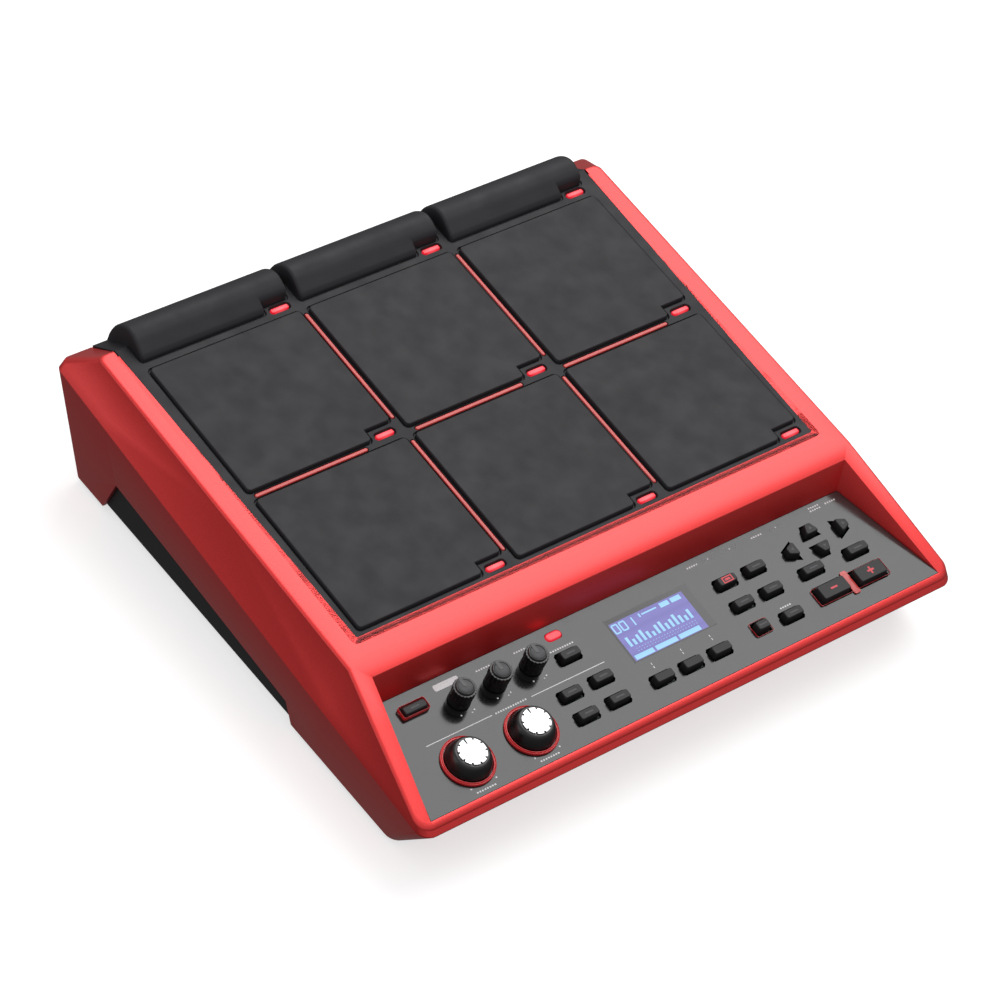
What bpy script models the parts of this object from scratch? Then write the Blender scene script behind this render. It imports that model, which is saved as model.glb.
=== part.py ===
"""Electronic drum pad with nine playing pads, as an assembly of separate pieces.

The drawing is in millimetres and place() writes each mesh in metres. +X is the player's
right, +Y the far side and +Z up. The origin is on the table, under the middle of the unit.
"""

import math

import bmesh
import bpy
from mathutils import Matrix, Vector

MM = 0.001
GAP = 0.3  # room left between neighbouring pieces
SKIN = 2.5  # wall of the moulded covers

# Red cover: the widest line is the ridge, and the hem below it is set in all round
HALF_WIDTH = 182.0
HALF_DEPTH = 165.5
RIDGE_FRONT_Z = 34.0
RIDGE_REAR_Z = 67.2
HEM_Z = 4.0
HEM_HALF_WIDTH = 176.5
HEM_HALF_DEPTH = 143.0
CORNER = 8.0  # radius of the cover's front corners, seen from above
REAR_CORNER = 4.0
CORNER_STEPS = 3

# Top of the cover: a playing plane that rises to the rear, and a steeper frame in front of it
PAD_Z = 73.9  # height of the playing plane over the origin
PAD_TILT = 4.19
FRAME_TILT = 19.5
FOLD_Y = -78.3
CREST_HALF_WIDTH = 168.5  # outer edge of the flat rim beside the pads
CREST_REAR_Y = 146.0
CREST_FRONT_Y = -161.0
FRONT_FLARE = 11.0  # how much wider the rim is at the front lip than at the fold
FLARE_END_Y = -153.0
CREST_ROUND = 2.2

# Notch in the lower side, which shows the black bottom case
NOTCH_REAR_Y = 118.0
NOTCH_TOP_REAR = (106.0, 31.0)
NOTCH_TOP_FRONT = (-49.0, 18.0)
NOTCH_FRONT_Y = -56.0

# Control panel, in its own plane: x across, s down the slope from the rear edge
PANEL_TILT = 7.5
PANEL_REAR_Y = -91.5
PANEL_REAR_Z = 48.3
PANEL_LENGTH = 68.8
PANEL_REAR_HALF = 156.5
PANEL_FRONT_HALF = 174.0
PANEL_THICK = 2.5
WELL_REAR_Y = -86.3
WELL_REAR_HALF = 161.0
WELL_WALL = 2.2
WELL_DRAFT = 0.27  # how far the well's side walls lean outwards for each mm of height

# Rubber sheet with six square pads and three rounded rear pads
SHEET_HALF_WIDTH = 160.0
SHEET_FRONT_Y = -69.0
SHEET_BEND_Y = 147.0
SHEET_TAIL = (165.2, 72.6)  # y and z of the rear hem of the sheet
SHEET_THICK = 2.0
COLUMN_PITCH = 102.75
COLUMNS = (-COLUMN_PITCH, 0.0, COLUMN_PITCH)
PAD_HALF = 48.4
PAD_RAISE = 1.8
PAD_CHAMFER = 1.0
PAD_ROWS = ((-60.8, 30.9), (36.9, 128.0))
SHOULDER_FRONT_Y = 134.3
SHOULDER_PROFILE = (
    (134.3, 85.6), (141.0, 90.2), (147.0, 93.3), (151.5, 94.0), (156.5, 92.8),
    (161.2, 88.6), (164.3, 82.5), (165.5, 76.0), (164.9, 73.0),
)
NOTCH_X = 31.0  # the pad is cut back for its lamp from here to its right edge
NOTCH_DEEP = 7.2

# Lamps and red accent strips between the pads
LAMP_X = (-62.1, 40.6, 143.4)
LAMP_Y = {"front": -59.1, "middle": 38.3, "rear": 134.8}
LAMP_LONG = 13.0
LAMP_WIDE = 4.6
LAMP_TOP = 0.7
RAIL_TOP = -3.6
RAIL_BOTTOM = -5.0
STRIP_WIDE = 2.3
STRIP_TOP = 0.2
STRIP_X = (-51.5, 51.5)
STRIP_Y = 33.9
STRIPS_ALONG_Y = ((-53.0, 28.5), (45.0, 125.5))
STRIPS_ALONG_X = ((-149.0, -76.6), (-45.0, 27.5), (56.3, 130.2))
GRID_TOP = -2.3
GRID_BOTTOM = -3.3

# Layers under the sheet
FOAM_BOTTOM = -7.3
PLATE_TOP = -7.6
PLATE_BOTTOM = -9.1

# Buttons: where each is on the panel (x, s) and its outline
BUTTON_RISE = 4.2
BUTTON_DEEP = 2.0  # how far a cap reaches below the panel's face
BUTTONS = {
    "arrow_up_button": (122.2, 14.8, "up"),
    "arrow_left_button": (103.9, 21.7, "left"),
    "arrow_right_button": (141.9, 20.4, "right"),
    "arrow_down_button": (122.5, 27.7, "down"),
    "exit_button": (139.2, 36.6, "long"),
    "enter_button": (107.4, 36.1, "long"),
    "minus_button": (109.5, 51.5, "large"),
    "plus_button": (135.9, 51.7, "large"),
    "menu_button": (78.1, 21.2, "small"),
    "kit_button": (57.9, 21.2, "small"),
    "wave_button": (78.1, 36.4, "small"),
    "setup_button": (57.7, 36.4, "small"),
    "shift_button": (78.5, 53.9, "small"),
    "record_button": (57.7, 52.7, "square"),
    "function_1_button": (-11.9, 54.4, "small"),
    "function_2_button": (7.7, 54.4, "small"),
    "function_3_button": (27.5, 54.4, "small"),
    "effect_1_button": (-63.2, 40.3, "small"),
    "effect_2_button": (-42.3, 39.9, "small"),
    "effect_3_button": (-63.1, 54.6, "small"),
    "effect_4_button": (-41.9, 54.2, "small"),
    "click_button": (-49.5, 20.8, "small"),
    "all_off_button": (-143.3, 11.1, "framed"),
}
OUTLINE_SIZES = {
    "small": (14.6, 7.8),
    "long": (16.0, 7.8),
    "large": (21.6, 11.6),
    "square": (10.6, 8.0),
    "framed": (14.4, 5.0),
}
ARROW_WIDE = 12.4
ARROW_TALL = 8.4
ARROW_TIP = 5.2

# Knobs on the panel (x, s)
CONTROL_KNOBS = {"control_knob_1": (-136.2, 48.8), "control_knob_2": (-95.2, 48.8)}
VOLUME_KNOBS = {
    "main_volume_knob": (-118.4, 16.9),
    "phones_volume_knob": (-94.9, 16.9),
    "click_volume_knob": (-71.4, 16.9),
}
SHAFT_RADIUS = 3.0
CONTROL_PROFILE = (
    (3.0, -3.9), (3.0, 0.5), (12.6, 0.5), (12.6, 2.2), (11.2, 5.8), (9.8, 8.4), (8.8, 9.1),
)
VOLUME_PROFILE = (
    (3.0, -3.9), (3.0, 0.4), (6.3, 0.4), (6.1, 5.5), (5.6, 7.0), (5.4, 12.3), (4.7, 13.1),
)
CAP_PROFILE = ((8.2, 9.4), (8.2, 10.0))
RING_OUTER = 14.6
RING_INNER = 13.4
RING_TOP = 1.9
KNOB_SIDES = 24

# Display
WINDOW_X = (-19.1, 37.0)
WINDOW_S = (11.8, 39.8)
WINDOW_THICK = 1.5
CLICK_LAMP = (-49.1, 6.8)
CLICK_LAMP_SIZE = (10.0, 5.0)

# Red frames round buttons: centre x, centre s, width, height, bar, top
FRAMES = {
    "all_off_frame": (-143.5, 11.0, 20.6, 11.2, 1.2, 2.6),
    "value_frame": (123.0, 51.6, 54.6, 15.0, 0.8, 0.9),
    "record_frame": (57.8, 52.6, 15.6, 13.0, 0.8, 0.9),
}
VALUE_WEB = (121.2, 124.2)  # x range of the bar between the two large buttons

# Circuit boards
BOARD_THICK = 1.6
BOARD_TOP = -9.0
SWITCH_TOP = -3.2
POT_TOP = -4.3
MAIN_BOARD = (-125.0, 60.0, -30.0, 100.0)
MAIN_BOARD_Z = 14.0

# Rear connectors, on an upright wall under the rear brow
CASE_RISE = 0.55  # share of the cover's lower wall that the case's walls reach
OPEN_REAR_Y = 175.0  # the tray has no rear wall of its own
REAR_WALL_Y = 140.1
REAR_WALL = 2.5
BROW_Z = 57.0
PORT_Z = 32.0
RECESS_HALF = 150.0
JACK_X = tuple(-132.0 + 17.5 * i for i in range(8))
JACK_BORE = 6.6
JACK_DEEP = 22.0
MIDI_X = (32.0, 56.0)
MIDI_BORE = 15.2
USB_X = 78.0
USB_SIZE = (13.2, 6.0)
USB_HOST_X = 98.0
USB_HOST_SIZE = (9.0, 8.4)
POWER_X = 116.0
POWER_SIZE = (11.0, 15.0)
INLET_X = 136.0
INLET_BORE = 9.0
GAIN_X = 12.0
FEET = ((-150.0, -118.0), (150.0, -118.0), (-150.0, 122.0), (150.0, 122.0))
FOOT_RADIUS = 11.0


def rise(degrees):
    return math.tan(math.radians(degrees))


def pad_z(y):
    return PAD_Z + rise(PAD_TILT) * y


def cover_z(y):
    """Height of the cover's top skin at depth y."""
    return pad_z(y) if y >= FOLD_Y else pad_z(FOLD_Y) - rise(FRAME_TILT) * (FOLD_Y - y)


def ridge_z(y):
    share = (y + HALF_DEPTH) / (2 * HALF_DEPTH)
    return RIDGE_FRONT_Z + (RIDGE_REAR_Z - RIDGE_FRONT_Z) * share


def flare(y):
    return FRONT_FLARE * min(max((FOLD_Y - y) / (FOLD_Y - FLARE_END_Y), 0.0), 1.0)


# The panel's frame: local X across, local Y up the slope (so s is -Y) and local Z out of its face
PANEL = (
    Matrix.Translation((0, PANEL_REAR_Y, PANEL_REAR_Z))
    @ Matrix.Rotation(math.radians(PANEL_TILT), 4, "X")
)


def material(name, colour, roughness, metallic=0.0):
    made = bpy.data.materials.new(name)
    made.use_nodes = True
    shader = made.node_tree.nodes["Principled BSDF"]
    shader.inputs["Base Color"].default_value = (*colour, 1.0)
    shader.inputs["Roughness"].default_value = roughness
    shader.inputs["Metallic"].default_value = metallic
    return made


def place(name, bm, finish, frame=Matrix.Identity(4)):
    """Makes the named object from a mesh drawn in millimetres in the given frame."""
    bmesh.ops.recalc_face_normals(bm, faces=bm.faces)
    bmesh.ops.scale(bm, vec=(MM, MM, MM), verts=bm.verts)
    mesh = bpy.data.meshes.new(name)
    bm.to_mesh(mesh)
    bm.free()
    made = bpy.data.objects.new(name, mesh)
    made.location = frame.translation * MM
    made.rotation_euler = frame.to_euler()
    bpy.context.scene.collection.objects.link(made)
    if finish:
        mesh.materials.append(finish)
        mesh.shade_smooth()
        mesh.set_sharp_from_angle(angle=math.radians(35))
    return made


def boolean(target, operation, bm, frame=Matrix.Identity(4)):
    """Cuts a drawn shape out of the target, or joins it on, and keeps the helper out of the model."""
    helper = place(f"{target.name}_{operation.lower()}", bm, None, frame)
    helper.hide_render = True
    helper.display_type = "WIRE"
    modifier = target.modifiers.new(operation.title(), "BOOLEAN")
    modifier.operation = operation
    modifier.solver = "EXACT"
    modifier.object = helper


def loft(bm, rings):
    """Skins closed rings of equal count, and closes both ends."""
    rows = [[bm.verts.new(point) for point in ring] for ring in rings]
    for low, high in zip(rows, rows[1:]):
        for i in range(len(low)):
            j = (i + 1) % len(low)
            bm.faces.new((low[i], low[j], high[j], high[i]))
    for row in (rows[0], rows[-1]):
        half = len(row) // 2
        for i in range(half - 1):
            bm.faces.new((row[i], row[i + 1], row[-2 - i], row[-1 - i]))


def prism(bm, outline, low, high, axis="Z"):
    """Extrudes a flat outline along an axis. Along X the outline's points are (y, z)."""
    turns = {
        "X": lambda a, b, level: (level, a, b),
        "Y": lambda a, b, level: (a, level, b),
        "Z": lambda a, b, level: (a, b, level),
    }
    turn = turns[axis]
    rows = [[bm.verts.new(turn(a, b, level)) for a, b in outline] for level in (low, high)]
    for i in range(len(outline)):
        j = (i + 1) % len(outline)
        bm.faces.new((rows[0][i], rows[0][j], rows[1][j], rows[1][i]))
    for row in rows:
        bm.faces.new(row)


def box(bm, x, y, z):
    prism(bm, [(x[0], y[0]), (x[1], y[0]), (x[1], y[1]), (x[0], y[1])], z[0], z[1])


def inset(outline, distance):
    """Moves every side of a counter-clockwise outline inwards by the distance."""
    moved = []
    for i, point in enumerate(outline):
        before = (Vector(point) - Vector(outline[i - 1])).normalized()
        after = (Vector(outline[(i + 1) % len(outline)]) - Vector(point)).normalized()
        side = Vector((-before.y, before.x)) + Vector((-after.y, after.x))
        moved.append(tuple(Vector(point) + side * distance / (0.5 * side.length_squared)))
    return moved


def rounded(width, height, radius, steps=1, at=(0.0, 0.0)):
    """A rectangle with rounded corners, counter-clockwise."""
    points = []
    for quarter, (sx, sy) in enumerate(((1, -1), (1, 1), (-1, 1), (-1, -1))):
        for i in range(steps + 1):
            angle = math.pi / 2 * (quarter - 1 + i / steps)
            points.append((
                at[0] + sx * (width / 2 - radius) + radius * math.cos(angle),
                at[1] + sy * (height / 2 - radius) + radius * math.sin(angle),
            ))
    return points


def soft_block(bm, outline, low, high, chamfer):
    """An outline raised to a block whose top edge is chamfered."""
    rows = [(outline, low), (outline, high - chamfer), (inset(outline, chamfer), high)]
    levels = [[bm.verts.new((x, y, z)) for x, y in points] for points, z in rows]
    for below, above in zip(levels, levels[1:]):
        for i in range(len(below)):
            j = (i + 1) % len(below)
            bm.faces.new((below[i], below[j], above[j], above[i]))
    bm.faces.new(levels[0])
    bm.faces.new(levels[-1])


def turned(bm, profile, sides=KNOB_SIDES):
    """A solid turned from (radius, height) points, closed flat at both ends."""
    turns = [2 * math.pi * i / sides for i in range(sides)]
    rows = [
        [bm.verts.new((radius * math.cos(a), radius * math.sin(a), height)) for a in turns]
        for radius, height in profile
    ]
    for below, above in zip(rows, rows[1:]):
        for i in range(sides):
            j = (i + 1) % sides
            bm.faces.new((below[i], below[j], above[j], above[i]))
    bm.faces.new(rows[0])
    bm.faces.new(rows[-1])


def circle(radius, at=(0.0, 0.0), sides=12):
    angles = [2 * math.pi * (i + 0.5) / sides for i in range(sides)]
    return [(at[0] + radius * math.cos(a), at[1] + radius * math.sin(a)) for a in angles]


def lean(bm):
    """Lays a shape that was drawn flat, with z = 0 as the sheet's face, on the playing plane."""
    for vert in bm.verts:
        vert.co.z += pad_z(vert.co.y)
    return bm


def cover_ring(half_width, front, rear, corner, height, grow=None):
    """A closed outline round the cover: right side front to rear, then the left side back."""
    half = []
    for i in range(CORNER_STEPS + 1):
        angle = math.pi / 2 * (i / CORNER_STEPS - 1)
        reach = corner * math.cos(angle)
        half.append((half_width - corner + reach, front + corner + corner * math.sin(angle)))
    half += [(half_width, y) for y in (-110.0, FOLD_Y, 30.0, 120.0)]
    for i in range(CORNER_STEPS + 1):
        angle = math.pi / 2 * i / CORNER_STEPS
        half.append((
            half_width - REAR_CORNER + REAR_CORNER * math.cos(angle),
            rear - REAR_CORNER + REAR_CORNER * math.sin(angle),
        ))
    right = [(x + (grow(y) if grow else 0.0), y, height(y)) for x, y in half]
    return right + [(-x, y, z) for x, y, z in reversed(right)]


def between(low, high, share):
    return [Vector(a).lerp(Vector(b), share) for a, b in zip(low, high)]


def hem_ring(offset, z):
    half_width = HEM_HALF_WIDTH - offset
    rear = HEM_HALF_DEPTH - offset
    return cover_ring(half_width, -rear, rear, CORNER, lambda y: z)


def ridge_ring(offset):
    rear = HALF_DEPTH - offset
    return cover_ring(HALF_WIDTH - offset, -rear, rear, CORNER, ridge_z)


def crest_ring(outward, drop):
    return cover_ring(
        CREST_HALF_WIDTH + outward, CREST_FRONT_Y - outward, CREST_REAR_Y + outward, CORNER,
        lambda y: cover_z(y) - drop, flare,
    )


def panel_point(x, s, n=0.0):
    return PANEL @ Vector((x, -s, n))


def well_rings(grow, share, lip_rise, depth):
    """Outlines of the control well, from its lid down to the panel's outline and below it.

    share is how far up the rear wall the lid is, and lip_rise its height over the front lip.
    """
    foot = [
        panel_point(PANEL_FRONT_HALF + grow, PANEL_LENGTH + grow),
        panel_point(PANEL_REAR_HALF + grow, -grow),
    ]
    opening = Vector((WELL_REAR_HALF + grow, WELL_REAR_Y + grow, cover_z(WELL_REAR_Y)))
    lid = [foot[0] + Vector((WELL_DRAFT * lip_rise, 0, lip_rise)), foot[1].lerp(opening, share)]
    down = PANEL.to_3x3() @ Vector((0, 0, -depth))
    rows = [lid, [spot + down for spot in foot]]
    if lip_rise > 0:
        rows.insert(1, foot)
    return [[*spots, *[Vector((-p.x, p.y, p.z)) for p in reversed(spots)]] for spots in rows]


def top_cover(red):
    """The red cover: a shell with the pad opening, the control well, side notches and a rear recess."""
    bm = bmesh.new()
    ridge = ridge_ring(0)
    crest_out = crest_ring(CREST_ROUND, 0.45 * CREST_ROUND)
    brow = between(ridge, crest_out, 0.25)
    for point, low in zip(brow, ridge):
        point.y = low[1]
    loft(bm, [hem_ring(0, HEM_Z), ridge, brow, crest_out, crest_ring(0, 0)])
    cover = place("top_cover", bm, red)

    hollow = bmesh.new()
    loft(hollow, [hem_ring(SKIN, HEM_Z - SKIN), ridge_ring(SKIN), crest_ring(-SKIN, SKIN)])
    boolean(cover, "DIFFERENCE", hollow)

    walls = bmesh.new()
    loft(walls, well_rings(WELL_WALL, 0.93, -0.8, 4))
    boolean(cover, "UNION", walls)

    openings = bmesh.new()
    loft(openings, well_rings(0, 1.5, 1.5, 9))
    edge = SHEET_HALF_WIDTH + GAP
    under = 4.0
    profile = [
        (SHEET_FRONT_Y - GAP, 100), (SHEET_FRONT_Y - GAP, pad_z(SHEET_FRONT_Y) - under),
        (143, pad_z(143) - under), (143, 71), (180, 71), (180, 100),
    ]
    prism(openings, profile, -edge, edge, "X")
    boolean(cover, "DIFFERENCE", openings)

    recesses = bmesh.new()
    box(recesses, (-RECESS_HALF, RECESS_HALF), (133, 180), (-1, BROW_Z))
    notch = [(NOTCH_REAR_Y, 0), NOTCH_TOP_REAR, NOTCH_TOP_FRONT, (NOTCH_FRONT_Y, 0)]
    prism(recesses, notch, -200, 200, "X")
    boolean(cover, "DIFFERENCE", recesses)


def bottom_case(black):
    """The black tray that closes the unit, with the upright connector wall at the rear."""
    edge = SKIN + 0.4
    bm = bmesh.new()
    hem, ridge = hem_ring(edge, HEM_Z), ridge_ring(edge)
    loft(bm, [hem, between(hem, ridge, CASE_RISE)])
    case = place("bottom_case", bm, black)
    hollow = bmesh.new()
    inner = [
        cover_ring(half - edge - 2, edge + 2 - deep, OPEN_REAR_Y, CORNER, height)
        for half, deep, height in (
            (HEM_HALF_WIDTH, HEM_HALF_DEPTH, lambda y: HEM_Z),
            (HALF_WIDTH, HALF_DEPTH, ridge_z),
        )
    ]
    floor = between(*inner, 0.0)
    for point in floor:
        point.z = HEM_Z + SKIN
    loft(hollow, [floor, between(*inner, CASE_RISE + 0.05)])
    boolean(case, "DIFFERENCE", hollow)

    wall = bmesh.new()
    box(wall, (-168, 168), (REAR_WALL_Y - REAR_WALL, REAR_WALL_Y), (5, 56.7))
    boolean(case, "UNION", wall)
    roof = bmesh.new()
    box(roof, (-158, 158), (REAR_WALL_Y - 1, 157), (54.5, 56.6))
    boolean(case, "UNION", roof)
    side = [(REAR_WALL_Y - 1.2, 9), (142, 9), (156.8, 55.5), (REAR_WALL_Y - 1.2, 55.5)]
    cheeks = bmesh.new()
    for x in (-RECESS_HALF - 2.6, RECESS_HALF + 0.4):
        prism(cheeks, side, x, x + 2.2, "X")
    boolean(case, "UNION", cheeks)

    ports = bmesh.new()
    reach = (REAR_WALL_Y - 5, REAR_WALL_Y + 5)
    for x in JACK_X:
        prism(ports, circle(6.0, (x, PORT_Z)), *reach, "Y")
    for x in MIDI_X:
        prism(ports, circle(10.2, (x, PORT_Z)), *reach, "Y")
    for x, size, room in (
        (USB_X, USB_SIZE, 3.0), (USB_HOST_X, USB_HOST_SIZE, 3.0), (POWER_X, POWER_SIZE, 0.8),
    ):
        prism(ports, rounded(size[0] + room, size[1] + room, 0.5, 1, (x, PORT_Z)), *reach, "Y")
    prism(ports, circle(6.3, (INLET_X, PORT_Z)), *reach, "Y")
    prism(ports, circle(3.6, (GAIN_X, PORT_Z)), *reach, "Y")
    boolean(case, "DIFFERENCE", ports)


def button_outline(kind):
    if kind in OUTLINE_SIZES:
        width, height = OUTLINE_SIZES[kind]
        return rounded(width, height, 1.2)
    wide, tall, tip = ARROW_WIDE / 2, ARROW_TALL / 2, ARROW_TIP / 2
    up = [(-wide, -tall), (wide, -tall), (tip, tall), (-tip, tall)]
    turns = {"up": 0, "left": 90, "down": 180, "right": 270}
    turn = Matrix.Rotation(math.radians(turns[kind]), 2)
    return [tuple(turn @ Vector(point)) for point in up]


def control_panel(dark):
    bm = bmesh.new()
    half = (PANEL_REAR_HALF - GAP, PANEL_FRONT_HALF - GAP)
    length = (GAP, PANEL_LENGTH - GAP)
    outline = [
        (-half[1], -length[1]), (half[1], -length[1]), (half[0], -length[0]), (-half[0], -length[0]),
    ]
    prism(bm, outline, -PANEL_THICK, 0)
    panel = place("control_panel", bm, dark, PANEL)
    holes = bmesh.new()
    reach = (-PANEL_THICK - 1, 1)
    for x, s, kind in BUTTONS.values():
        prism(holes, [(x + a, b - s) for a, b in inset(button_outline(kind), -GAP)], *reach)
    for x, s in [*CONTROL_KNOBS.values(), *VOLUME_KNOBS.values()]:
        prism(holes, circle(SHAFT_RADIUS + 0.6, (x, -s)), *reach)
    glass_hole = (-WINDOW_S[1] - GAP, -WINDOW_S[0] + GAP)
    box(holes, (WINDOW_X[0] - GAP, WINDOW_X[1] + GAP), glass_hole, reach)
    lamp_hole = [size + 2 * GAP for size in CLICK_LAMP_SIZE]
    prism(holes, rounded(*lamp_hole, 2.6, 3, (CLICK_LAMP[0], -CLICK_LAMP[1])), *reach)
    boolean(panel, "DIFFERENCE", holes, PANEL)


def buttons(black):
    for name, (x, s, kind) in BUTTONS.items():
        bm = bmesh.new()
        height = BUTTON_RISE - (0.7 if kind == "framed" else 0.0)
        soft_block(bm, button_outline(kind), -BUTTON_DEEP, height, 1.0)
        place(name, bm, black, PANEL @ Matrix.Translation((x, -s, 0)))


def knobs(black, silver, red):
    for name, (x, s) in CONTROL_KNOBS.items():
        frame = PANEL @ Matrix.Translation((x, -s, 0))
        pieces = ((name, CONTROL_PROFILE, black), (name + "_cap", CAP_PROFILE, silver))
        for part, profile, finish in pieces:
            bm = bmesh.new()
            turned(bm, profile)
            place(part, bm, finish, frame)
        ring = bmesh.new()
        turned(ring, ((RING_OUTER, GAP), (RING_OUTER, 1.2), (RING_OUTER - 0.6, RING_TOP)))
        light = place(name.replace("knob", "ring"), ring, red, frame)
        bore = bmesh.new()
        turned(bore, ((RING_INNER, -1), (RING_INNER, RING_TOP + 1)))
        boolean(light, "DIFFERENCE", bore, frame)
    for name, (x, s) in VOLUME_KNOBS.items():
        bm = bmesh.new()
        turned(bm, VOLUME_PROFILE, sides=16)
        place(name, bm, black, PANEL @ Matrix.Translation((x, -s, 0)))


def red_frames(red):
    for name, (x, s, width, height, bar, top) in FRAMES.items():
        frame = PANEL @ Matrix.Translation((x, -s, 0))
        bm = bmesh.new()
        prism(bm, rounded(width, height, 3.0, 3), GAP, top)
        made = place(name, bm, red, frame)
        hole = bmesh.new()
        inner = (width - 2 * bar, height - 2 * bar)
        if name == "value_frame":
            ends = (-inner[0] / 2, VALUE_WEB[0] - x, VALUE_WEB[1] - x, inner[0] / 2)
            for low, high in (ends[:2], ends[2:]):
                centre = ((low + high) / 2, 0)
                prism(hole, rounded(high - low, inner[1], 2.2, 3, centre), -1, top + 1)
        else:
            prism(hole, rounded(*inner, 2.2, 3), -1, top + 1)
        boolean(made, "DIFFERENCE", hole, frame)


def display(glass, black, red):
    window = bmesh.new()
    box(window, WINDOW_X, (-WINDOW_S[1], -WINDOW_S[0]), (-WINDOW_THICK, 0))
    place("display_window", window, glass, PANEL)
    module = bmesh.new()
    deep = (-WINDOW_S[1] - 1.5, -WINDOW_S[0] + 1.5)
    box(module, (WINDOW_X[0] - 2, WINDOW_X[1] + 2), deep, (-8.6, -PANEL_THICK - GAP))
    place("display_module", module, black, PANEL)
    lamp = bmesh.new()
    soft_block(lamp, rounded(*CLICK_LAMP_SIZE, 2.4, 3), -PANEL_THICK, 0.7, 0.4)
    place("click_lamp", lamp, red, PANEL @ Matrix.Translation((CLICK_LAMP[0], -CLICK_LAMP[1], 0)))


def panel_board(green):
    """The board under the panel, with a switch under each button and a pot under each knob."""
    bm = bmesh.new()
    box(bm, (-157, 157), (-61, -3), (BOARD_TOP - BOARD_THICK, BOARD_TOP))
    board = place("panel_board", bm, green, PANEL)
    fitted = bmesh.new()
    root = BOARD_TOP - 0.5
    for x, s, _ in BUTTONS.values():
        box(fitted, (x - 3, x + 3), (-s - 2, -s + 2), (root, SWITCH_TOP))
    for x, s in [*CONTROL_KNOBS.values(), *VOLUME_KNOBS.values()]:
        box(fitted, (x - 5, x + 5), (-s - 5, -s + 5), (root, POT_TOP))
    boolean(board, "UNION", fitted, PANEL)


def main_board(green):
    bm = bmesh.new()
    x0, x1, y0, y1 = MAIN_BOARD
    box(bm, (x0, x1), (y0, y1), (MAIN_BOARD_Z, MAIN_BOARD_Z + BOARD_THICK))
    board = place("main_board", bm, green)
    chips = bmesh.new()
    top = MAIN_BOARD_Z + BOARD_THICK
    for x, y, side, tall in ((-60, 40, 24, 2.0), (-10, 40, 18, 1.6), (-60, -5, 12, 1.4), (30, 70, 10, 9.0)):
        box(chips, (x - side / 2, x + side / 2), (y - side / 2, y + side / 2), (top - 0.5, top + tall))
    boolean(board, "UNION", chips)


def shoulder_outline():
    """Side view of a rear pad, which bulges over the back edge of the unit."""
    under = [(163.2, 73.6), *[(y, pad_z(y) - 1.0) for y in (146.0, SHOULDER_FRONT_Y)]]
    return [*SHOULDER_PROFILE, *under]


def pad_sheet(rubber):
    """One rubber sheet with its nine pads, holes for the lamps and slots for the accent strips."""
    bm = bmesh.new()
    tail_y, tail_z = SHEET_TAIL
    profile = [
        (SHEET_FRONT_Y, pad_z(SHEET_FRONT_Y) - SHEET_THICK), (SHEET_FRONT_Y, pad_z(SHEET_FRONT_Y)),
        (SHEET_BEND_Y, pad_z(SHEET_BEND_Y)), SHEET_TAIL, (tail_y - 1.3, tail_z - 1.3),
        (SHEET_BEND_Y - 1, pad_z(SHEET_BEND_Y) - SHEET_THICK),
    ]
    prism(bm, profile, -SHEET_HALF_WIDTH, SHEET_HALF_WIDTH, "X")
    sheet = place("pad_sheet", bm, rubber)

    pads = bmesh.new()
    for column in COLUMNS:
        left, right, step = column - PAD_HALF, column + PAD_HALF, column + NOTCH_X
        for front, rear in PAD_ROWS:
            cut = front + NOTCH_DEEP
            outline = [
                (left, front), (step, front), (step, cut), (right, cut), (right, rear), (left, rear),
            ]
            soft_block(pads, outline, -1.0, PAD_RAISE, PAD_CHAMFER)
    lean(pads)
    boolean(sheet, "UNION", pads)
    shoulders = bmesh.new()
    for column in COLUMNS:
        prism(shoulders, shoulder_outline(), column - PAD_HALF, column + PAD_HALF, "X")
    boolean(sheet, "UNION", shoulders)

    holes = bmesh.new()
    for y in LAMP_Y.values():
        for x in LAMP_X:
            prism(holes, rounded(LAMP_LONG + 2 * GAP, LAMP_WIDE + 2 * GAP, 2.4, 2, (x, y)), -9, 2.5)
    for outline in strip_outlines(GAP):
        prism(holes, outline, -5, 2.5)
    boolean(sheet, "DIFFERENCE", lean(holes))
    room = bmesh.new()
    for x in LAMP_X:
        y = LAMP_Y["rear"]
        box(room, (x - 9, x + 10), (y - 8, y + 4.2), (0.0, 30))
    boolean(sheet, "DIFFERENCE", lean(room))


def strip_outlines(grow=0.0):
    """Outlines of the seven accent strips."""
    wide = STRIP_WIDE + 2 * grow
    outlines = []
    for x in STRIP_X:
        for low, high in STRIPS_ALONG_Y:
            middle = (x, (low + high) / 2)
            outlines.append(rounded(wide, high - low + 2 * grow, 1.0, 1, middle))
    for low, high in STRIPS_ALONG_X:
        middle = ((low + high) / 2, STRIP_Y)
        outlines.append(rounded(high - low + 2 * grow, wide, 1.0, 1, middle))
    return outlines


def long_bars(bm, grow, low, high):
    for x in STRIP_X:
        box(bm, (x - 2.8 - grow, x + 2.8 + grow), (-56 - grow, 128 + grow), (low, high))


def cross_bar(bm, grow, low, high):
    box(bm, (-151 - grow, 132 + grow), (31.0 - grow, 35.4 + grow), (low, high))


def accent_grid(red):
    bm = bmesh.new()
    cross_bar(bm, 0, GRID_BOTTOM, GRID_TOP)
    grid = place("accent_grid", lean(bm), red)
    bars = bmesh.new()
    long_bars(bars, 0, GRID_BOTTOM + 0.15, GRID_TOP - 0.15)
    boolean(grid, "UNION", lean(bars))
    strips = bmesh.new()
    for outline in strip_outlines():
        prism(strips, outline, GRID_TOP - 0.5, STRIP_TOP)
    boolean(grid, "UNION", lean(strips))


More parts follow.
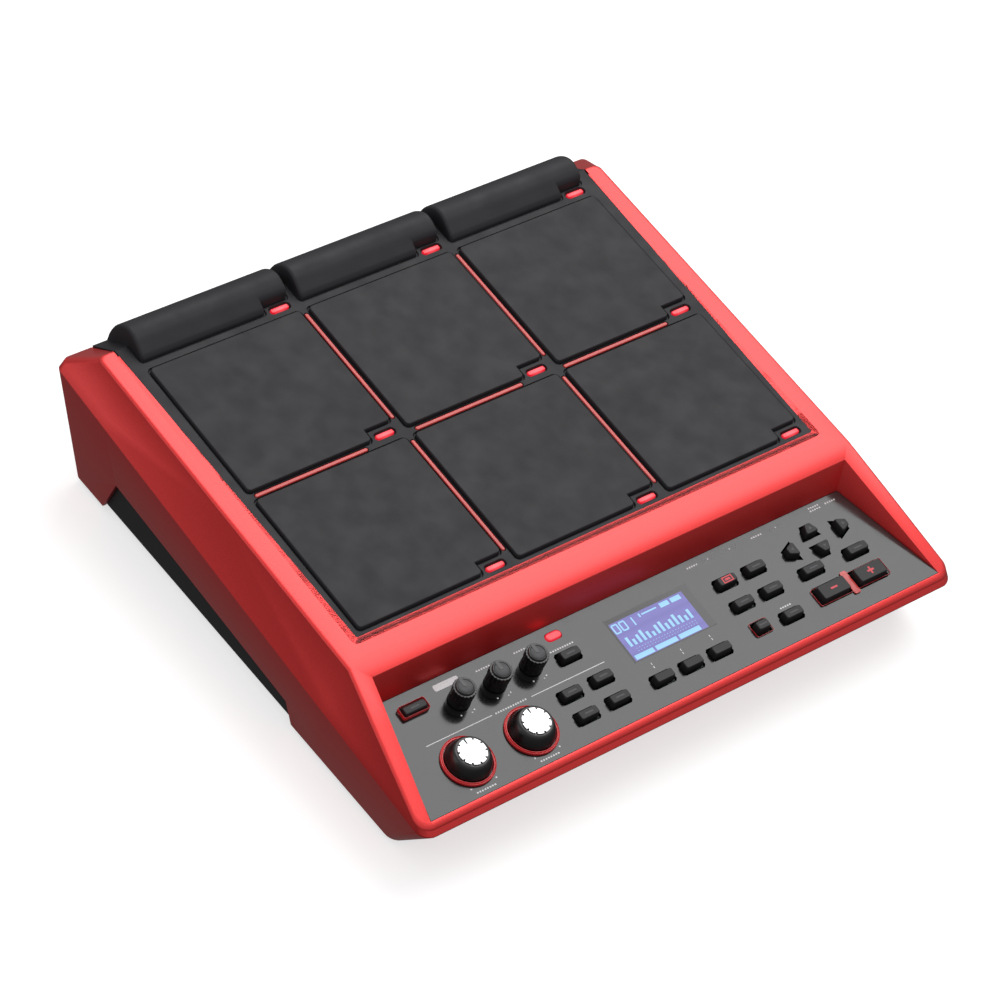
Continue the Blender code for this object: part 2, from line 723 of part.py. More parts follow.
def light_guides(clear):
    """Three clear rails under the sheet, each with the three lamp lenses of its row."""
    for row, y in LAMP_Y.items():
        bm = bmesh.new()
        box(bm, (LAMP_X[0] - 8, LAMP_X[2] + 8), (y - 2.0, y + 2.0), (RAIL_BOTTOM, RAIL_TOP))
        rail = place(f"light_guide_{row}", lean(bm), clear)
        lenses = bmesh.new()
        for x in LAMP_X:
            soft_block(lenses, rounded(LAMP_LONG, LAMP_WIDE, 2.2, 2, (x, y)), RAIL_TOP - 0.5, LAMP_TOP, 0.4)
        boolean(rail, "UNION", lean(lenses))


def sensor_layers(grey, steel):
    foam = bmesh.new()
    box(foam, (-158, 158), (-66, 141), (FOAM_BOTTOM, GRID_TOP))
    slab = place("sensor_foam", lean(foam), grey)
    channels = bmesh.new()
    long_bars(channels, 0.4, GRID_BOTTOM - GAP, 0)
    boolean(slab, "DIFFERENCE", lean(channels))
    channels = bmesh.new()
    cross_bar(channels, 0.4, GRID_BOTTOM - GAP, 0)
    boolean(slab, "DIFFERENCE", lean(channels))
    channels = bmesh.new()
    for y in LAMP_Y.values():
        box(channels, (LAMP_X[0] - 8.5, LAMP_X[2] + 8.5), (y - 2.8, y + 2.8), (RAIL_BOTTOM - GAP, 0))
    boolean(slab, "DIFFERENCE", lean(channels))
    plate = bmesh.new()
    box(plate, (-163, 163), (-74, 141.5), (PLATE_BOTTOM, PLATE_TOP))
    place("sensor_plate", lean(plate), steel)


def jack_block(black):
    """Eight quarter-inch sockets in one moulding behind the connector wall."""
    inner = REAR_WALL_Y - REAR_WALL - GAP
    bm = bmesh.new()
    ends = (JACK_X[0] - 8.5, JACK_X[-1] + 8.0)
    box(bm, ends, (inner - JACK_DEEP - 2, inner), (PORT_Z - 9, PORT_Z + 9))
    block = place("jack_block", bm, black)
    collars = bmesh.new()
    for x in JACK_X:
        prism(collars, circle(5.6, (x, PORT_Z)), inner - 1, REAR_WALL_Y + 0.6, "Y")
    boolean(block, "UNION", collars)
    bores = bmesh.new()
    radius = JACK_BORE / 2 / math.cos(math.pi / 12)  # the flats of the twelve-sided hole
    for x in JACK_X:
        prism(bores, circle(radius, (x, PORT_Z)), inner - JACK_DEEP, REAR_WALL_Y + 3, "Y")
    boolean(block, "DIFFERENCE", bores)


def data_sockets(black):
    """Two round data sockets and two flat ones, side by side in one block."""
    inner = REAR_WALL_Y - REAR_WALL - GAP
    bm = bmesh.new()
    box(bm, (MIDI_X[0] - 11.5, USB_HOST_X + 7.5), (inner - 16, inner), (PORT_Z - 11, PORT_Z + 11))
    block = place("data_sockets", bm, black)
    collars = bmesh.new()
    for x in MIDI_X:
        prism(collars, circle(9.8, (x, PORT_Z)), inner - 1, REAR_WALL_Y, "Y")
    for x, size in ((USB_X, USB_SIZE), (USB_HOST_X, USB_HOST_SIZE)):
        prism(collars, rounded(size[0] + 2, size[1] + 2, 0.5, 1, (x, PORT_Z)), inner - 1, REAR_WALL_Y, "Y")
    boolean(block, "UNION", collars)
    bores = bmesh.new()
    for x in MIDI_X:
        prism(bores, circle(MIDI_BORE / 2, (x, PORT_Z)), inner - 9, REAR_WALL_Y + 3, "Y")
    for x, size in ((USB_X, USB_SIZE), (USB_HOST_X, USB_HOST_SIZE)):
        prism(bores, rounded(*size, 0.3, 1, (x, PORT_Z)), inner - 13, REAR_WALL_Y + 3, "Y")
    boolean(block, "DIFFERENCE", bores)


def power_parts(black):
    inner = REAR_WALL_Y - REAR_WALL - GAP
    bm = bmesh.new()
    box(bm, (INLET_X - 7, INLET_X + 7), (inner - 14, inner), (PORT_Z - 7, PORT_Z + 7))
    inlet = place("power_inlet", bm, black)
    collar = bmesh.new()
    prism(collar, circle(5.9, (INLET_X, PORT_Z)), inner - 1, REAR_WALL_Y, "Y")
    boolean(inlet, "UNION", collar)
    bore = bmesh.new()
    prism(bore, circle(INLET_BORE / 2, (INLET_X, PORT_Z)), inner - 10, REAR_WALL_Y + 3, "Y")
    boolean(inlet, "DIFFERENCE", bore)
    facing_rear = Matrix.Rotation(math.radians(-90), 4, "X")
    button = bmesh.new()
    soft_block(button, rounded(*POWER_SIZE, 1.0), -6.0, 3.5, 0.8)
    frame = Matrix.Translation((POWER_X, REAR_WALL_Y, PORT_Z)) @ facing_rear
    place("power_button", button, black, frame)
    knob = bmesh.new()
    turned(knob, ((3.0, -8), (3.0, 0.8), (5.5, 0.8), (5.2, 9.0), (4.6, 9.8)), sides=16)
    frame = Matrix.Translation((GAIN_X, REAR_WALL_Y, PORT_Z)) @ facing_rear
    place("input_level_knob", knob, black, frame)


def feet(rubber):
    for i, (x, y) in enumerate(FEET):
        bm = bmesh.new()
        turned(bm, ((FOOT_RADIUS - 1, 0), (FOOT_RADIUS, 1), (FOOT_RADIUS, HEM_Z - GAP)), sides=16)
        place(f"foot_{i + 1}", bm, rubber, Matrix.Translation((x, y, 0)))


def build():
    for old in list(bpy.data.objects):
        bpy.data.objects.remove(old)
    red = material("pearl_red_abs", (0.47, 0.022, 0.022), 0.35, 0.2)
    black = material("black_abs", (0.022, 0.022, 0.024), 0.5)
    dark = material("panel_grey_abs", (0.04, 0.04, 0.045), 0.4)
    rubber = material("charcoal_rubber", (0.042, 0.04, 0.047), 0.7)
    glow = material("clear_red_acrylic", (0.8, 0.03, 0.06), 0.2)
    silver = material("turned_aluminium", (0.8, 0.8, 0.8), 0.3, 1.0)
    glass = material("display_glass", (0.14, 0.12, 0.5), 0.1)
    green = material("glass_epoxy_board", (0.02, 0.15, 0.05), 0.5)
    grey = material("grey_foam", (0.2, 0.2, 0.2), 0.9)
    steel = material("zinc_plated_steel", (0.6, 0.6, 0.6), 0.35, 1.0)
    top_cover(red)
    bottom_case(black)
    control_panel(dark)
    buttons(black)
    knobs(black, silver, glow)
    red_frames(red)
    display(glass, black, glow)
    panel_board(green)
    main_board(green)
    pad_sheet(rubber)
    accent_grid(red)
    light_guides(glow)
    sensor_layers(grey, steel)
    jack_block(black)
    data_sockets(black)
    power_parts(black)
    feet(rubber)


build()
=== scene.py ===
import math

import bmesh
import bpy
import numpy as np
from mathutils import Matrix, Vector


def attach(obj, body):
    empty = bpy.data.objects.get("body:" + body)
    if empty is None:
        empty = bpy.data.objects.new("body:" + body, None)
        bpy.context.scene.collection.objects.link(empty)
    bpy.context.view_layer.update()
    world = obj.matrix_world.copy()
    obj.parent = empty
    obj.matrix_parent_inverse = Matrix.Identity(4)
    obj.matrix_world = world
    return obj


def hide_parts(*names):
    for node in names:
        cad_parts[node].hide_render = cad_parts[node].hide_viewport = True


# Looks of an electronic drum pad: a pearl red moulded cover over a black case, one charcoal rubber
# sheet with nine pads, and a dark panel with buttons, knobs and a lit display. Shapes are drawn in
# millimetres and are brought to metres when each piece is made.

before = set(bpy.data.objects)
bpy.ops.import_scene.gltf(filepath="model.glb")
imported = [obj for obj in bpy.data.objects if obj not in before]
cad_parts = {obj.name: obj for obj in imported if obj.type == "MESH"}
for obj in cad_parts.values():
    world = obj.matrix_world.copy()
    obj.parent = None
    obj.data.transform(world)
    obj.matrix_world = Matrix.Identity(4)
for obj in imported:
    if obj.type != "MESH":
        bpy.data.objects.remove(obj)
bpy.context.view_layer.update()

MM = 0.001

# Cover, from the same drawing as the solid cover
HALF_WIDTH, HALF_DEPTH = 182.0, 165.5
RIDGE_Z = (34.0, 67.2)  # at the front and at the rear
HEM_Z, HEM_HALF_WIDTH, HEM_HALF_DEPTH = 4.0, 176.5, 143.0
CORNER, REAR_CORNER = 8.0, 4.0  # radii of the front and rear corners, seen from above
CORNER_STEPS = 8
SKIN = 2.5
PAD_Z, PAD_TILT = 73.9, 4.19
FRAME_TILT, FOLD_Y = 19.5, -78.3
CREST_HALF_WIDTH, CREST_REAR_Y, CREST_FRONT_Y = 168.5, 146.0, -161.0
FRONT_FLARE, FLARE_END_Y = 11.0, -153.0
CREST_ROUND = 2.2
NOTCH = ((118.0, 0.0), (106.0, 31.0), (-49.0, 18.0), (-56.0, 0.0))
RECESS_HALF, BROW_Z = 150.0, 57.0

# Control well and panel
PANEL_TILT, PANEL_REAR_Y, PANEL_REAR_Z = 7.5, -91.5, 48.3
PANEL_LENGTH, PANEL_REAR_HALF, PANEL_FRONT_HALF = 68.8, 156.5, 174.0
WELL_REAR_Y, WELL_REAR_HALF, WELL_DRAFT, WELL_WALL = -86.3, 161.0, 0.27, 2.2
PANEL = (
    Matrix.Translation((0, PANEL_REAR_Y, PANEL_REAR_Z))
    @ Matrix.Rotation(math.radians(PANEL_TILT), 4, "X")
)

# Rubber sheet
SHEET_HALF, SHEET_FRONT, SHEET_BEND = 160.0, -69.0, 147.0
SHEET_TAIL = (165.2, 72.6)
SHEET_THICK = 2.0
SHEET_CORNER = 6.0
COLUMNS = (-102.75, 0.0, 102.75)
PAD_HALF, PAD_RAISE = 48.4, 1.6
PAD_ROWS = ((-60.8, 30.9), (36.9, 128.0))
SHOULDER_FRONT, SHOULDER_NOTCH = 134.3, 139.0
SHOULDER = (
    (134.3, 85.6), (139.5, 89.2), (144.5, 92.4), (149.5, 93.95), (155.0, 92.4),
    (160.5, 87.6), (163.9, 81.5), (165.4, 76.0), (164.9, 73.0),
)
LAMP_CUT_X, LAMP_CUT_DEEP = 31.0, 7.2
LAMP_X = (-62.1, 40.6, 143.4)
LAMP_Y = {"front": -59.1, "middle": 38.3, "rear": 134.8}
LAMP_SIZE = (13.0, 4.6)
STRIP_X = (-51.5, 51.5)
STRIP_Y = 33.9
STRIPS_ALONG_Y = ((-53.0, 28.5), (45.0, 125.5))
STRIPS_ALONG_X = ((-149.0, -76.6), (-45.0, 27.5), (56.3, 130.2))
STRIP_WIDE = 2.3

# Panel controls (x, s) and outlines, s being the distance down the panel from its rear edge
BUTTONS = {
    "arrow_up_button": (122.2, 14.8, "up"),
    "arrow_left_button": (103.9, 21.7, "left"),
    "arrow_right_button": (141.9, 20.4, "right"),
    "arrow_down_button": (122.5, 27.7, "down"),
    "exit_button": (139.2, 36.6, "long"),
    "enter_button": (107.4, 36.1, "long"),
    "minus_button": (109.5, 51.5, "large"),
    "plus_button": (135.9, 51.7, "large"),
    "menu_button": (78.1, 21.2, "small"),
    "kit_button": (57.9, 21.2, "small"),
    "wave_button": (78.1, 36.4, "small"),
    "setup_button": (57.7, 36.4, "small"),
    "shift_button": (78.5, 53.9, "small"),
    "record_button": (57.7, 52.7, "square"),
    "function_1_button": (-11.9, 54.4, "small"),
    "function_2_button": (7.7, 54.4, "small"),
    "function_3_button": (27.5, 54.4, "small"),
    "effect_1_button": (-63.2, 40.3, "small"),
    "effect_2_button": (-42.3, 39.9, "small"),
    "effect_3_button": (-63.1, 54.6, "small"),
    "effect_4_button": (-41.9, 54.2, "small"),
    "click_button": (-49.5, 20.8, "small"),
    "all_off_button": (-143.3, 11.1, "framed"),
}
OUTLINE_SIZES = {
    "small": (14.6, 7.8),
    "long": (16.0, 7.8),
    "large": (21.6, 11.6),
    "square": (10.6, 8.0),
    "framed": (14.4, 5.0),
}
ARROW_WIDE, ARROW_TALL, ARROW_TIP = 12.4, 8.4, 5.2
BUTTON_RISE = 4.2
CAP_RADIUS = 7.8
CONTROL_KNOBS = {"control_knob_1": (-136.2, 48.8), "control_knob_2": (-95.2, 48.8)}
VOLUME_KNOBS = {
    "main_volume_knob": (-118.4, 16.9),
    "phones_volume_knob": (-94.9, 16.9),
    "click_volume_knob": (-71.4, 16.9),
}
WINDOW_X, WINDOW_S = (-19.1, 37.0), (11.8, 39.8)
LIT_X, LIT_S = (-18.0, 32.0), (14.5, 39.3)
FRAMES = {  # centre x, centre s, width, height, bar, top
    "all_off_frame": (-143.5, 11.0, 20.6, 11.2, 1.2, 2.6),
    "value_frame": (123.0, 51.6, 54.6, 15.0, 0.8, 0.9),
    "record_frame": (57.8, 52.6, 15.6, 13.0, 0.8, 0.9),
}
VALUE_WEB = (121.2, 124.2)

# Plain dashes where words would be printed: centre x, centre s, length
LABELS = (
    (-94.7, 6.6, 11.0), (-71.4, 6.4, 8.0), (-49.4, 14.6, 16.0), (-136.1, 65.9, 14.0), (-95.0, 65.7, 14.0),
    (-95.2, 31.9, 22.0), (47.8, 4.5, 8.0), (94.1, 4.3, 9.0), (79.3, 47.7, 8.0), (136.7, 2.9, 9.0),
    (136.7, 4.7, 9.0), (148.0, 4.1, 9.0),
)

REAR_WALL_Y, PORT_Z = 140.1, 32.0
JACK_X = tuple(-132.0 + 17.5 * i for i in range(8))


# ---------------------------------------------------------------- materials

def linear(code, alpha=1.0):
    """An sRGB hex colour as linear values."""
    parts = [int(code[i:i + 2], 16) / 255 for i in (0, 2, 4)]
    return (*[c / 12.92 if c <= 0.04045 else ((c + 0.055) / 1.055) ** 2.4 for c in parts], alpha)


def add(tree, kind, inputs=None, **settings):
    """Adds one node: settings are its own properties, inputs its sockets' values or links."""
    made = tree.nodes.new(kind)
    for key, value in settings.items():
        setattr(made, key, value)
    for key, value in (inputs or {}).items():
        if isinstance(value, bpy.types.NodeSocket):
            tree.links.new(value, made.inputs[key])
        else:
            made.inputs[key].default_value = value
    return made


def finish(name, roughness, colour=None, **sockets):
    """A Principled material, with its shader and its Object coordinates for patterns."""
    made = bpy.data.materials.new(name)
    made.use_nodes = True
    tree = made.node_tree
    shader = tree.nodes["Principled BSDF"]
    shader.inputs["Roughness"].default_value = roughness
    if colour:
        shader.inputs["Base Color"].default_value = linear(colour)
    for key, value in sockets.items():
        shader.inputs[key.replace("_", " ")].default_value = value
    place = add(tree, "ShaderNodeTexCoord").outputs["Object"]
    return made, tree, shader, place


def grain(tree, place, size_mm, detail=2.0):
    """Noise whose lumps are about size_mm across."""
    return add(tree, "ShaderNodeTexNoise", {"Vector": place, "Scale": 1 / (size_mm * MM), "Detail": detail})


def mottle(tree, shader, socket, fac, low, high):
    """Drives a socket between two values with a pattern."""
    spread = add(tree, "ShaderNodeMapRange", {"Value": fac, "From Min": 0.3, "From Max": 0.7,
                                             "To Min": low, "To Max": high})
    tree.links.new(spread.outputs["Result"], shader.inputs[socket])


def tint(tree, shader, fac, low, high, start=0.35, end=0.65):
    ramp = add(tree, "ShaderNodeValToRGB", {"Fac": fac})
    ramp.color_ramp.elements[0].position = start
    ramp.color_ramp.elements[1].position = end
    ramp.color_ramp.elements[0].color = linear(low)
    ramp.color_ramp.elements[1].color = linear(high)
    tree.links.new(ramp.outputs["Color"], shader.inputs["Base Color"])
    return ramp


def raise_grain(tree, shader, height, depth_mm, strength=1.0):
    bump = add(tree, "ShaderNodeBump", {"Height": height, "Distance": depth_mm * MM, "Strength": strength})
    tree.links.new(bump.outputs["Normal"], shader.inputs["Normal"])


def pearl_red_paint():
    # Pearl paint on moulded ABS: aluminium flake under a satin lacquer gives a soft wide sheen
    # that goes from orange-red in the light to deep red in shade
    made, tree, shader, place = finish("pearl_red_paint", 0.4, Metallic=0.75, IOR=1.5,
                                       Coat_Weight=0.6, Coat_Roughness=0.28)
    flake = grain(tree, place, 0.35, 1.0)  # flakes are 0.03 mm; drawn coarser so that they show
    tint(tree, shader, flake.outputs["Fac"], "DC2A2C", "EA3634")
    orange_peel = grain(tree, place, 1.6)
    raise_grain(tree, shader, orange_peel.outputs["Fac"], 0.015, 0.5)
    return made


def charcoal_rubber():
    # Compression-moulded silicone rubber: a dry, fine-grained surface with hardly any gloss
    made, tree, shader, place = finish("charcoal_silicone_rubber", 0.62, IOR=1.43)
    cloud = grain(tree, place, 45, 3.0)
    tint(tree, shader, cloud.outputs["Fac"], "1E1C20", "222024", 0.3, 0.7)
    pebble = grain(tree, place, 0.5, 2.0)
    raise_grain(tree, shader, pebble.outputs["Fac"], 0.03, 0.6)
    mottle(tree, shader, "Roughness", grain(tree, place, 14, 2.0).outputs["Fac"], 0.58, 0.68)
    return made


def spark_eroded_abs(name, low, high, roughness):
    # Black ABS from a spark-eroded mould: fine grain that breaks up the gloss
    made, tree, shader, place = finish(name, roughness, IOR=1.54)
    pebble = grain(tree, place, 0.45, 3.0)
    tint(tree, shader, pebble.outputs["Fac"], low, high)
    raise_grain(tree, shader, pebble.outputs["Fac"], 0.03, 0.8)
    return made


def printed_panel():
    # Back-printed polycarbonate sheet: near black, glossy, with faint wiping haze in its gloss
    made, tree, shader, place = finish("glossy_polycarbonate_panel", 0.14, IOR=1.58)
    tint(tree, shader, grain(tree, place, 60, 2.0).outputs["Fac"], "0E0E10", "121214", 0.3, 0.7)
    mottle(tree, shader, "Roughness", grain(tree, place, 9, 4.0).outputs["Fac"], 0.12, 0.2)
    return made


def knob_plastic(name, colour_low, colour_high, roughness):
    # Moulded ABS knob: smooth, with slight handling wear in its gloss
    made, tree, shader, place = finish(name, roughness, IOR=1.54)
    wear = grain(tree, place, 3.5, 3.0)
    tint(tree, shader, wear.outputs["Fac"], colour_low, colour_high, 0.3, 0.7)
    mottle(tree, shader, "Roughness", wear.outputs["Fac"], roughness - 0.06, roughness + 0.08)
    return made


def spun_aluminium():
    # Aluminium disc faced on a lathe: fine rings round the axis, drawn as bumps; the fan of light that such
    # rings spread is painted into the colour as a painted highlight
    made, tree, shader, _ = finish("faced_aluminium", 0.42, Metallic=1.0, Anisotropic=0.3)
    own = add(tree, "ShaderNodeAttribute", attribute_name="turning").outputs["Vector"]
    rings = add(tree, "ShaderNodeTexWave", {"Vector": own, "Scale": 700.0, "Distortion": 0.4},
                wave_type="RINGS", rings_direction="Z")  # a ring every 0.45 mm; the real tool marks are finer
    # Painted highlight: the base colour turns lighter and darker in four blades round the axis, standing in
    # for the reflected fan of light
    sheen_fan_angle = add(tree, "ShaderNodeTexGradient", {"Vector": own}, gradient_type="RADIAL")
    sheen_fan_blades = add(tree, "ShaderNodeMath", {0: sheen_fan_angle.outputs["Fac"], 1: 4 * math.pi}, operation="MULTIPLY")
    wave = add(tree, "ShaderNodeMath", {0: sheen_fan_blades.outputs[0]}, operation="SINE")
    tint(tree, shader, wave.outputs[0], "ECECEE", "FAFAFB", 0.0, 1.0)
    raise_grain(tree, shader, rings.outputs["Fac"], 0.01, 0.5)
    return made


def red_moulding(name, low, high, roughness):
    # Pigmented acrylic moulding with a smooth polished face
    made, tree, shader, place = finish(name, roughness, IOR=1.49, Coat_Weight=0.3, Coat_Roughness=0.15)
    tint(tree, shader, grain(tree, place, 8, 2.0).outputs["Fac"], low, high, 0.3, 0.7)
    return made


def lit_lens(name, core, rim, strength, reach):
    # Frosted red acrylic over a light source: hot in the middle and deep red at the ends
    made, tree, shader, _ = finish(name, 0.25, "A30A1E", IOR=1.49)
    own = add(tree, "ShaderNodeAttribute", attribute_name="turning").outputs["Vector"]
    flat = add(tree, "ShaderNodeVectorMath", {0: own, 1: (1 / reach[0], 1 / reach[1], 0.0)},
               operation="MULTIPLY")
    away = add(tree, "ShaderNodeVectorMath", {0: flat.outputs["Vector"]}, operation="LENGTH")
    glow = add(tree, "ShaderNodeValToRGB", {"Fac": away.outputs["Value"]})
    glow.color_ramp.elements[0].position = 0.25
    glow.color_ramp.elements[1].position = 1.0
    glow.color_ramp.elements[0].color = linear(core)
    glow.color_ramp.elements[1].color = linear(rim)
    tree.links.new(glow.outputs["Color"], shader.inputs["Emission Color"])
    shader.inputs["Emission Strength"].default_value = strength
    return made


def lit_display(name, low, high, strength):
    # Backlit liquid crystal behind a clear window: an even glow with a faint dot structure
    made, tree, shader, place = finish(name, 0.12, "15152A", IOR=1.5)
    dots = add(tree, "ShaderNodeTexVoronoi", {"Vector": place, "Scale": 1 / (0.9 * MM), "Randomness": 0.0})
    cells = add(tree, "ShaderNodeValToRGB", {"Fac": dots.outputs["Distance"]})
    cells.color_ramp.elements[0].position = 0.35
    cells.color_ramp.elements[1].position = 0.6
    cells.color_ramp.elements[0].color = linear(high)
    cells.color_ramp.elements[1].color = linear(low)
    tree.links.new(cells.outputs["Color"], shader.inputs["Emission Color"])
    shader.inputs["Emission Strength"].default_value = strength
    return made


def window_black():
    # Clear acrylic with a black printed border: deep and glossy
    made, tree, shader, place = finish("printed_acrylic_window", 0.12, IOR=1.49)
    tint(tree, shader, grain(tree, place, 20, 2.0).outputs["Fac"], "1F1F24", "26262B", 0.3, 0.7)
    return made


def ink(name, colour, roughness=0.5):
    # Screen-printing ink: a thin flat layer, slightly broken at its edges
    made, tree, shader, place = finish(name, roughness)
    dark = "".join(f"{int(int(colour[i:i + 2], 16) * 0.88):02X}" for i in (0, 2, 4))
    tint(tree, shader, grain(tree, place, 0.6, 2.0).outputs["Fac"], dark, colour, 0.2, 0.6)
    return made


def circuit_board():
    # Glass-epoxy board under green solder resist, with the weave just showing
    made, tree, shader, place = finish("solder_resist_green", 0.35, IOR=1.5)
    weave = add(tree, "ShaderNodeTexChecker", {"Vector": place, "Scale": 1 / (0.8 * MM)})
    tint(tree, shader, weave.outputs["Fac"], "0D3B22", "11492B", 0.0, 1.0)
    return made


def zinc_plate():
    # Zinc-plated steel sheet: bright and slightly streaked
    made, tree, shader, place = finish("zinc_plated_steel", 0.35, Metallic=1.0)
    tint(tree, shader, grain(tree, place, 12, 4.0).outputs["Fac"], "9B9DA0", "B9BBBE", 0.3, 0.7)
    return made


def foam():
    # Foamed rubber: open cells of about half a millimetre, with painted shade: the colour darkens into each
    # cell's pit, following the same pattern that sinks it
    made, tree, shader, place = finish("cellular_rubber", 0.95)
    cells = add(tree, "ShaderNodeTexVoronoi", {"Vector": place, "Scale": 1 / (0.8 * MM)})
    # Painted shade: darker where the cells sink, lighter on their rims
    tint(tree, shader, cells.outputs["Distance"], "2A2A2B", "4A4A4C", 0.1, 0.6)
    raise_grain(tree, shader, cells.outputs["Distance"], 0.2)
    return made


RED = pearl_red_paint()
RUBBER = charcoal_rubber()
CASE = spark_eroded_abs("black_grained_abs", "151517", "1D1D1F", 0.55)
BUTTON = spark_eroded_abs("black_button_rubber", "101012", "141417", 0.6)
SOCKET = spark_eroded_abs("black_socket_nylon", "0E0E10", "161618", 0.45)
FOOT = spark_eroded_abs("black_foot_rubber", "101011", "19191A", 0.8)
GREY = printed_panel()
KNOB = knob_plastic("black_knob_abs", "09090A", "0D0D0F", 0.3)
KNOB_TOP = knob_plastic("grey_knob_top_abs", "28282B", "2F2F33", 0.5)
SILVER = spun_aluminium()
ACCENT = red_moulding("red_accent_acrylic", "BE3430", "CC3C36", 0.35)
TRIM = red_moulding("red_trim_acrylic", "C9262A", "D63034", 0.28)
LAMP = lit_lens("lit_red_lens", "FF5A62", "C80F22", 1.0, (6.0 * MM, 2.6 * MM))
CLICK_LENS = lit_lens("lit_click_lens", "F23A48", "D81E30", 0.75, (5.0 * MM, 2.5 * MM))
SCREEN = lit_display("lit_display_ground", "615AB0", "7068BE", 0.9)
SEGMENT = lit_display("lit_display_segments", "8CCBF4", "9AD6FA", 0.95)
WINDOW = window_black()
WHITE_INK = ink("white_ink", "DADADC")
GREY_INK = ink("grey_ink", "77777C")
RED_INK = ink("red_ink", "D8414B")
DIM_INK = ink("dim_grey_ink", "3C3C42")
BOARD = circuit_board()
STEEL = zinc_plate()
FOAM = foam()


# ---------------------------------------------------------------- making pieces

def piece(name, bm, finishes, body="unit", place=None, replaces=(), crease=32):
    """Makes a finished piece from a drawing in millimetres, with its place in its mesh."""
    bmesh.ops.remove_doubles(bm, verts=bm.verts, dist=1e-4)
    bmesh.ops.recalc_face_normals(bm, faces=bm.faces)
    if place is not None:
        bm.transform(place)
    bm.transform(Matrix.Scale(MM, 4))
    mesh = bpy.data.meshes.new(name)
    bm.to_mesh(mesh)
    bm.free()
    return from_mesh(name, mesh, finishes, body, replaces, crease)


def from_mesh(name, mesh, finishes, body="unit", replaces=(), crease=32):
    made = bpy.data.objects.new(name, mesh)
    bpy.context.scene.collection.objects.link(made)
    for item in finishes:
        mesh.materials.append(item)
    mesh.shade_smooth()
    mesh.set_sharp_from_angle(angle=math.radians(crease))
    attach(made, body)
    if replaces:
        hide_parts(*replaces)
    return made


def remember_place(bm, name="turning"):
    """Keeps each point's place before it is moved, in metres, for patterns that follow the piece."""
    layer = bm.verts.layers.float_vector.new(name)
    for vert in bm.verts:
        vert[layer] = vert.co * MM


def skin(bm, rings, caps=(True, True), paint=0):
    """Skins closed rings of equal count. Returns the rings' vertices."""
    rows = [[bm.verts.new(point) for point in ring] for ring in rings]
    for low, high in zip(rows, rows[1:]):
        for i in range(len(low)):
            j = (i + 1) % len(low)
            bm.faces.new((low[i], low[j], high[j], high[i])).material_index = paint
    for row, closed in zip((rows[0], rows[-1]), caps):
        if closed:
            bm.faces.new(row).material_index = paint
    return rows


def strip_capped(bm, rings):
    """Skins closed rings and closes both ends with strips, for outlines mirrored about x = 0."""
    rows = skin(bm, rings, (False, False))
    for row in (rows[0], rows[-1]):
        for i in range(len(row) // 2 - 1):
            bm.faces.new((row[i], row[i + 1], row[-2 - i], row[-1 - i]))


def prism(bm, outline, low, high, axis="Z", paint=0):
    turns = {
        "X": lambda a, b, level: (level, a, b),
        "Y": lambda a, b, level: (a, level, b),
        "Z": lambda a, b, level: (a, b, level),
    }
    skin(bm, [[turns[axis](a, b, level) for a, b in outline] for level in (low, high)], paint=paint)


def block(bm, x, y, z, paint=0):
    prism(bm, [(x[0], y[0]), (x[1], y[0]), (x[1], y[1]), (x[0], y[1])], z[0], z[1], paint=paint)


def inset(outline, distance):
    moved = []
    for i, point in enumerate(outline):
        before = (Vector(point) - Vector(outline[i - 1])).normalized()
        after = (Vector(outline[(i + 1) % len(outline)]) - Vector(point)).normalized()
        side = Vector((-before.y, before.x)) + Vector((-after.y, after.x))
        moved.append(tuple(Vector(point) + side * distance / (0.5 * side.length_squared)))
    return moved


def rounded(points, radius, steps=5):
    """Rounds the corners of a counter-clockwise outline."""
    smooth = []
    count = len(points)
    for i, point in enumerate(points):
        point = Vector(point)
        back = (Vector(points[i - 1]) - point).normalized()
        on = (Vector(points[(i + 1) % count]) - point).normalized()
        half = back.angle(on) / 2
        centre = point + (back + on).normalized() * (radius / math.sin(half))
        start = point + back * (radius / math.tan(half)) - centre
        end = point + on * (radius / math.tan(half)) - centre
        for k in range(steps + 1):
            arm = start.slerp(end, k / steps)
            smooth.append(tuple(centre + arm))
    return smooth


def plate(width, height, at=(0.0, 0.0)):
    w, h = width / 2, height / 2
    return [(at[0] + a * w, at[1] + b * h) for a, b in ((-1, -1), (1, -1), (1, 1), (-1, 1))]


def circle(radius, sides, at=(0.0, 0.0), start=0.0):
    return [
        (at[0] + radius * math.cos(start + 2 * math.pi * i / sides),
         at[1] + radius * math.sin(start + 2 * math.pi * i / sides))
        for i in range(sides)
    ]


def lathe(bm, profile, sides, closed=False, paint=0):
    """Turns a (radius, height) profile. A closed profile makes a ring, an open one a capped solid."""
    rings = []
    for radius, height in profile:
        ring = []
        for i in range(sides):
            angle = 2 * math.pi * i / sides
            ring.append((radius * math.cos(angle), radius * math.sin(angle), height))
        rings.append(ring)
    if closed:
        rings.append(rings[0])
    skin(bm, rings, (not closed, not closed), paint)


def rise(degrees):
    return math.tan(math.radians(degrees))


def pad_z(y):
    return PAD_Z + rise(PAD_TILT) * y


def cover_z(y):
    return pad_z(y) if y >= FOLD_Y else pad_z(FOLD_Y) - rise(FRAME_TILT) * (FOLD_Y - y)


def ridge_z(y):
    return RIDGE_Z[0] + (RIDGE_Z[1] - RIDGE_Z[0]) * (y + HALF_DEPTH) / (2 * HALF_DEPTH)


def flare(y):
    return FRONT_FLARE * min(max((FOLD_Y - y) / (FOLD_Y - FLARE_END_Y), 0.0), 1.0)


def lean(bm):
    """Lays a flat drawing on the playing plane."""
    for vert in bm.verts:
        vert.co.z += pad_z(vert.co.y)
    return bm


# ---------------------------------------------------------------- repeated shapes

